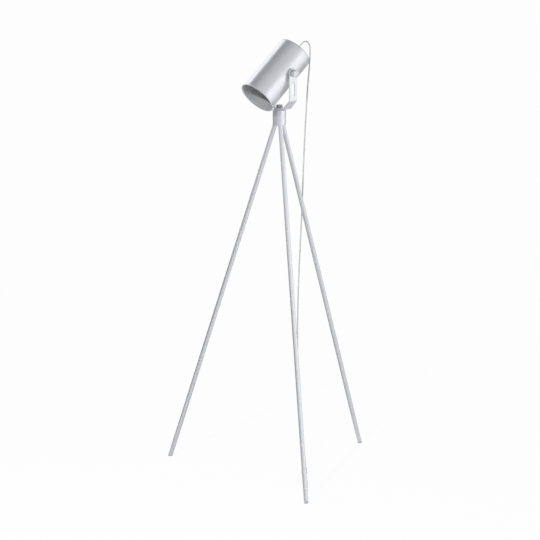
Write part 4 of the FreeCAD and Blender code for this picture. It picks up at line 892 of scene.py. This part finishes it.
def make_grip():
    """The cord grip: a collar, a taper cut by shallow grooves, and a bore for the cord."""
    plate, collar, inner_step, grooves, pitch, taper = 93.4, 102.4, 102.8, 103.6, 3.0, 0.145
    tip, bore, thread = plate + 26, 2.6, 5.1
    outline = [(thread, plate, 0), (7.5, plate, 0.4), (7.5, collar - 1, 0.5), (6.6, collar, 0.3)]
    for n in range(5):
        start = grooves + pitch * n
        wide = 6.45 - (start - collar) * taper
        outline += [
            (wide, start, 0.3),
            (wide - 0.75, start + 0.5, 0.25),
            (wide - 0.85, start + 1.4, 0.25),
            (wide - 0.25, start + 1.9, 0.3),
        ]
    outline += [(4.0, tip - 0.8, 0.4), (3.2, tip, 0.3), (bore, tip, 0)]
    outline += [(bore, inner_step, 0), (thread, inner_step, 0)]
    dress(lathe("cord_grip_moulded", outline, IN_HEAD, 64), "head", "cord_grip")


def make_back_cap():
    """The pressed cap. Its turned-over rim is a darker grey than its plate: a painted shade along the
    back edge.
    """
    cap = soften("back_cap_pressed", "head", "back_cap", 0.15)
    # the rim's faces take the darker grey, a painted shade along the back edge
    cap.data.materials.append(satin_paint("cap_rim_painted_shade", CAP_RIM_PAINTED_SHADE_GREY))
    rim_from = 63.4
    radius, height = faces_in_head(cap)
    rim = (radius > rim_from) & (height > SHADE_BACK)
    cap.data.polygons.foreach_set("material_index", rim.astype(np.int32))


def make_holder():
    """The lamp holder's two moulded shells and the nut that holds them on the threaded tube."""
    radius, bore, barrel_top, dome_bottom, dome_top = 20, 16.4, 60.6, 60.7, 84.7
    barrel = [
        (bore, barrel_top, 0),
        (radius, barrel_top, 0.2),
        (radius, 52.6, 0.6),
        (radius - 1, 51.6, 0.6),
        (radius - 1, 28.7, 0.5),
        (18, 26.7, 0.6),
        (bore, 26.7, 0.3),
    ]
    dress(lathe("holder_barrel_moulded", barrel, IN_HEAD, 96), "head", "holder_barrel")
    dome = [
        (5.1, dome_top, 0),
        (10, dome_top, 0.6),
        (10, 76.7, 3),
        (17, 70.3, 4),
        (radius, 65.5, 3),
        (radius, dome_bottom, 0.2),
        (18, dome_bottom, 0),
        (15, 68.3, 0),
        (5.1, 74.7, 0),
    ]
    dress(lathe("holder_dome_moulded", dome, IN_HEAD, 96), "head", "holder_dome")
    soften("lock_nut_plated", "head", "holder_lock_nut", 0.3)


def make_bulb():
    """The bulb's housing and its dome, half an ellipsoid: r = 30 cos t and z = -10.4 - 36 sin t."""
    radius, dome_base, dome_depth, housing_end, neck, top = 30, -10.4, 36, -10.3, 13.8, 33.6
    housing = [
        (0, top, 0),
        (neck, top, 0.2),
        (neck, 25.7, 3),
        (21.6, 11.6, 8),
        (27.6, -1.6, 8),
        (radius, housing_end, 0.3),
        (0, housing_end, 0),
    ]
    made = lathe("bulb_housing_moulded", housing, IN_HEAD, 96, closed=False)
    dress(made, "head", "bulb_housing")
    turn = np.radians(np.linspace(0, 90, 24))[1:]
    curve = np.stack([radius * np.cos(turn), dome_base - dome_depth * np.sin(turn)], -1)
    dome = np.vstack([[(0, dome_base), (radius - 0.4, dome_base)], curve])
    made = lathe("bulb_dome_frosted", dome, IN_HEAD, 96, closed=False)
    dress(made, "head", "bulb_diffuser")


# ---------------------------------------------------------------- studio


WHITE = (0.985, 0.985, 0.985, 1)


def seen_or_mirrored(finish):
    """1 for what the camera sees, straight or in metal and glass, and 0 for scattered light."""
    path = "ShaderNodeLightPath"
    return (
        finish.node(path, out="Is Camera Ray")
        + finish.node(path, out="Is Glossy Ray")
        + finish.node(path, out="Is Transmission Ray")
    ).held()


def flat_card(name, corners, finish, surface):
    """A flat four-cornered card of the studio, whose material ends in the surface."""
    finish.feed(finish.tree.nodes["Material Output"].inputs["Surface"], surface)
    mesh = bpy.data.meshes.new(name)
    mesh.from_pydata(corners, [], [(0, 1, 2, 3)])
    mesh.materials.append(finish.material)
    made = bpy.data.objects.new(name, mesh)
    bpy.context.scene.collection.objects.link(made)
    return made


def make_floor():
    """A white floor, as even as the background, with the barest trace of the lamp's shadow."""
    finish = Finish("floor_white")
    away = finish.node("ShaderNodeVectorMath", {"operation": "LENGTH"}, {0: finish.here()}, out="Value")
    lit = finish.node("ShaderNodeBsdfDiffuse", None, {"Color": (0.95, 0.95, 0.95, 1)})
    white = finish.node("ShaderNodeEmission", None, {"Color": WHITE})
    share = seen_or_mirrored(finish) * (0.95 + 0.05 * away.between(0.9, 3.0))
    both = finish.node("ShaderNodeMixShader", None, {0: share.held(), 1: lit, 2: white})
    half = 14
    corners = [(-half, -half, 0), (half, -half, 0), (half, half, 0), (-half, half, 0)]
    flat_card("floor", corners, finish, both)


class Backdrop(Finish):
    """The nodes of the world."""

    def __init__(self, name):
        self.world = bpy.data.worlds.new(name)
        self.world.use_nodes = True
        self.tree = self.world.node_tree


def make_world():
    """White behind the lamp and in its reflections, and grey in the light that it scatters."""
    finish = Backdrop("studio")
    bpy.context.scene.world = finish.world
    room = finish.node("ShaderNodeBackground", None, {"Color": (0.62, 0.62, 0.63, 1)})
    white = finish.node("ShaderNodeBackground", None, {"Color": WHITE})
    both = finish.node("ShaderNodeMixShader", None, {0: seen_or_mirrored(finish), 1: room, 2: white})
    finish.feed(finish.tree.nodes["World Output"].inputs["Surface"], both)


def flag(name, grey, corners):
    """A card that the lamp's metal mirrors and nothing else sees, in studio coordinates. Its
    grey is a function of its material's nodes."""
    finish = Finish(name)
    glow = finish.node("ShaderNodeEmission", None, {"Color": grey(finish)})
    card = flat_card(name, corners, finish, glow)
    card.matrix_world = placed(HUB, (STUDIO_TURN, "Z"))
    card.visible_camera = False
    card.visible_diffuse = False
    card.visible_shadow = False


def ceiling_grey(finish):
    """Darkest behind the lamp on its left, and paler to the right and towards the camera."""
    place = finish.here()
    ahead = 0.77 * finish.part(place, "X") - 0.64 * finish.part(place, "Y")
    return 0.06 + 0.39 * ahead.between(-1.1, 1.4) + 0.45 * ahead.between(0.8, 7.5)


def left_grey(finish):
    """Grey where the hub mirrors it, and darker below, where the legs do."""
    return 0.08 + 0.28 * finish.part(finish.here(), "Z").between(0.5, 1.0)


def front_grey(finish):
    """Grey opposite the lamp and paler to the right."""
    return 0.40 + 0.45 * finish.part(finish.here(), "X").between(0.5, 7)


def floor_grey(finish):
    """What the metal mirrors of the floor: grey on the left, darkest behind the lamp there and
    dark behind it on the right, and in front of it paler on the right, to white far out."""
    place = finish.here()
    across, away = finish.part(place, "X"), finish.part(place, "Y")
    left = (1 - across.between(0.05, 0.3)) * away.between(0.05, 0.3)
    behind = across.between(0.3, 1.0) * away.between(0.3, 1.2)
    right = across.between(0.8, 4.0) * (1 - away.between(0.2, 1.4))
    beside = across.between(0.0, 0.3) * away.between(-4.0, -2.5)
    return 0.58 - 0.34 * left - 0.28 * behind + 0.34 * right + 0.14 * beside


def make_flags():
    """Four cards round the lamp: above it, in front, on its left and just over the floor."""
    side, ceiling = -2.4, 3.2
    over = [(side, -7, ceiling), (6, -7, ceiling), (6, 1.2, ceiling), (side, 1.2, ceiling)]
    flag("ceiling_flag", ceiling_grey, over)
    front, front_top = -7.1, 1.9
    ahead = [(-7, front, 0), (8, front, 0), (8, front, front_top), (-7, front, front_top)]
    flag("front_flag", front_grey, ahead)
    side_top = 2.3
    beside = [(side, -3, 0), (side, 5, 0), (side, 5, side_top), (side, -3, side_top)]
    flag("left_flag", left_grey, beside)
    half, clear = 7, 0.001
    under = [(-half, -half, clear), (half, -half, clear), (half, half, clear), (-half, half, clear)]
    flag("floor_card", floor_grey, under)


def softbox(name, place, target, size, power, mirrored=True):
    """A square-cut softbox at a studio point, facing another, of a size in metres and a power
    in watts, which metal mirrors unless mirrored is false."""
    data = bpy.data.lights.new(name, "AREA")
    data.shape = "RECTANGLE"
    data.size, data.size_y = size
    data.energy = power
    lamp = bpy.data.objects.new(name, data)
    lamp.location = studio(*place)
    lamp.rotation_euler = (studio(*target) - lamp.location).to_track_quat("-Z", "Y").to_euler()
    lamp.visible_glossy = mirrored
    bpy.context.scene.collection.objects.link(lamp)


def make_lights():
    """A softbox on the right and one behind on the left, which the metal mirrors, and two
    lights for the shading alone."""
    softbox("right_softbox", (2.05, -1.12, 1.40), (0, 0, 1.40), (1.3, 1.6), 1.7)
    softbox("left_softbox", (-1.5, 2.2, 3.0), (0, 0, 1.45), (1.6, 1.6), 2.0)
    softbox("top_softbox", (0.3, -0.6, 3.6), (0, 0, 0), (3.0, 3.0), 16, mirrored=False)
    softbox("left_key", (-1.67, -4.13, 3.73), (0, 0, 1.2), (0.12, 0.12), 175, mirrored=False)


# ---------------------------------------------------------------- the lamp, put together

bpy.context.scene.view_settings.view_transform = "Standard"
make_camera()
make_world()
make_lights()
make_flags()
make_floor()
make_loop()
make_drop()
make_hank()
make_legs()
make_feet()
make_hub()
make_yoke()
make_bushes()
make_knobs()
make_shade()
make_grip()
make_back_cap()
make_holder()
make_bulb()

# every CAD node takes its slot's finish as well, and the ones that no piece replaces show it
for node, made in NODES.items():
    paint(made, node)
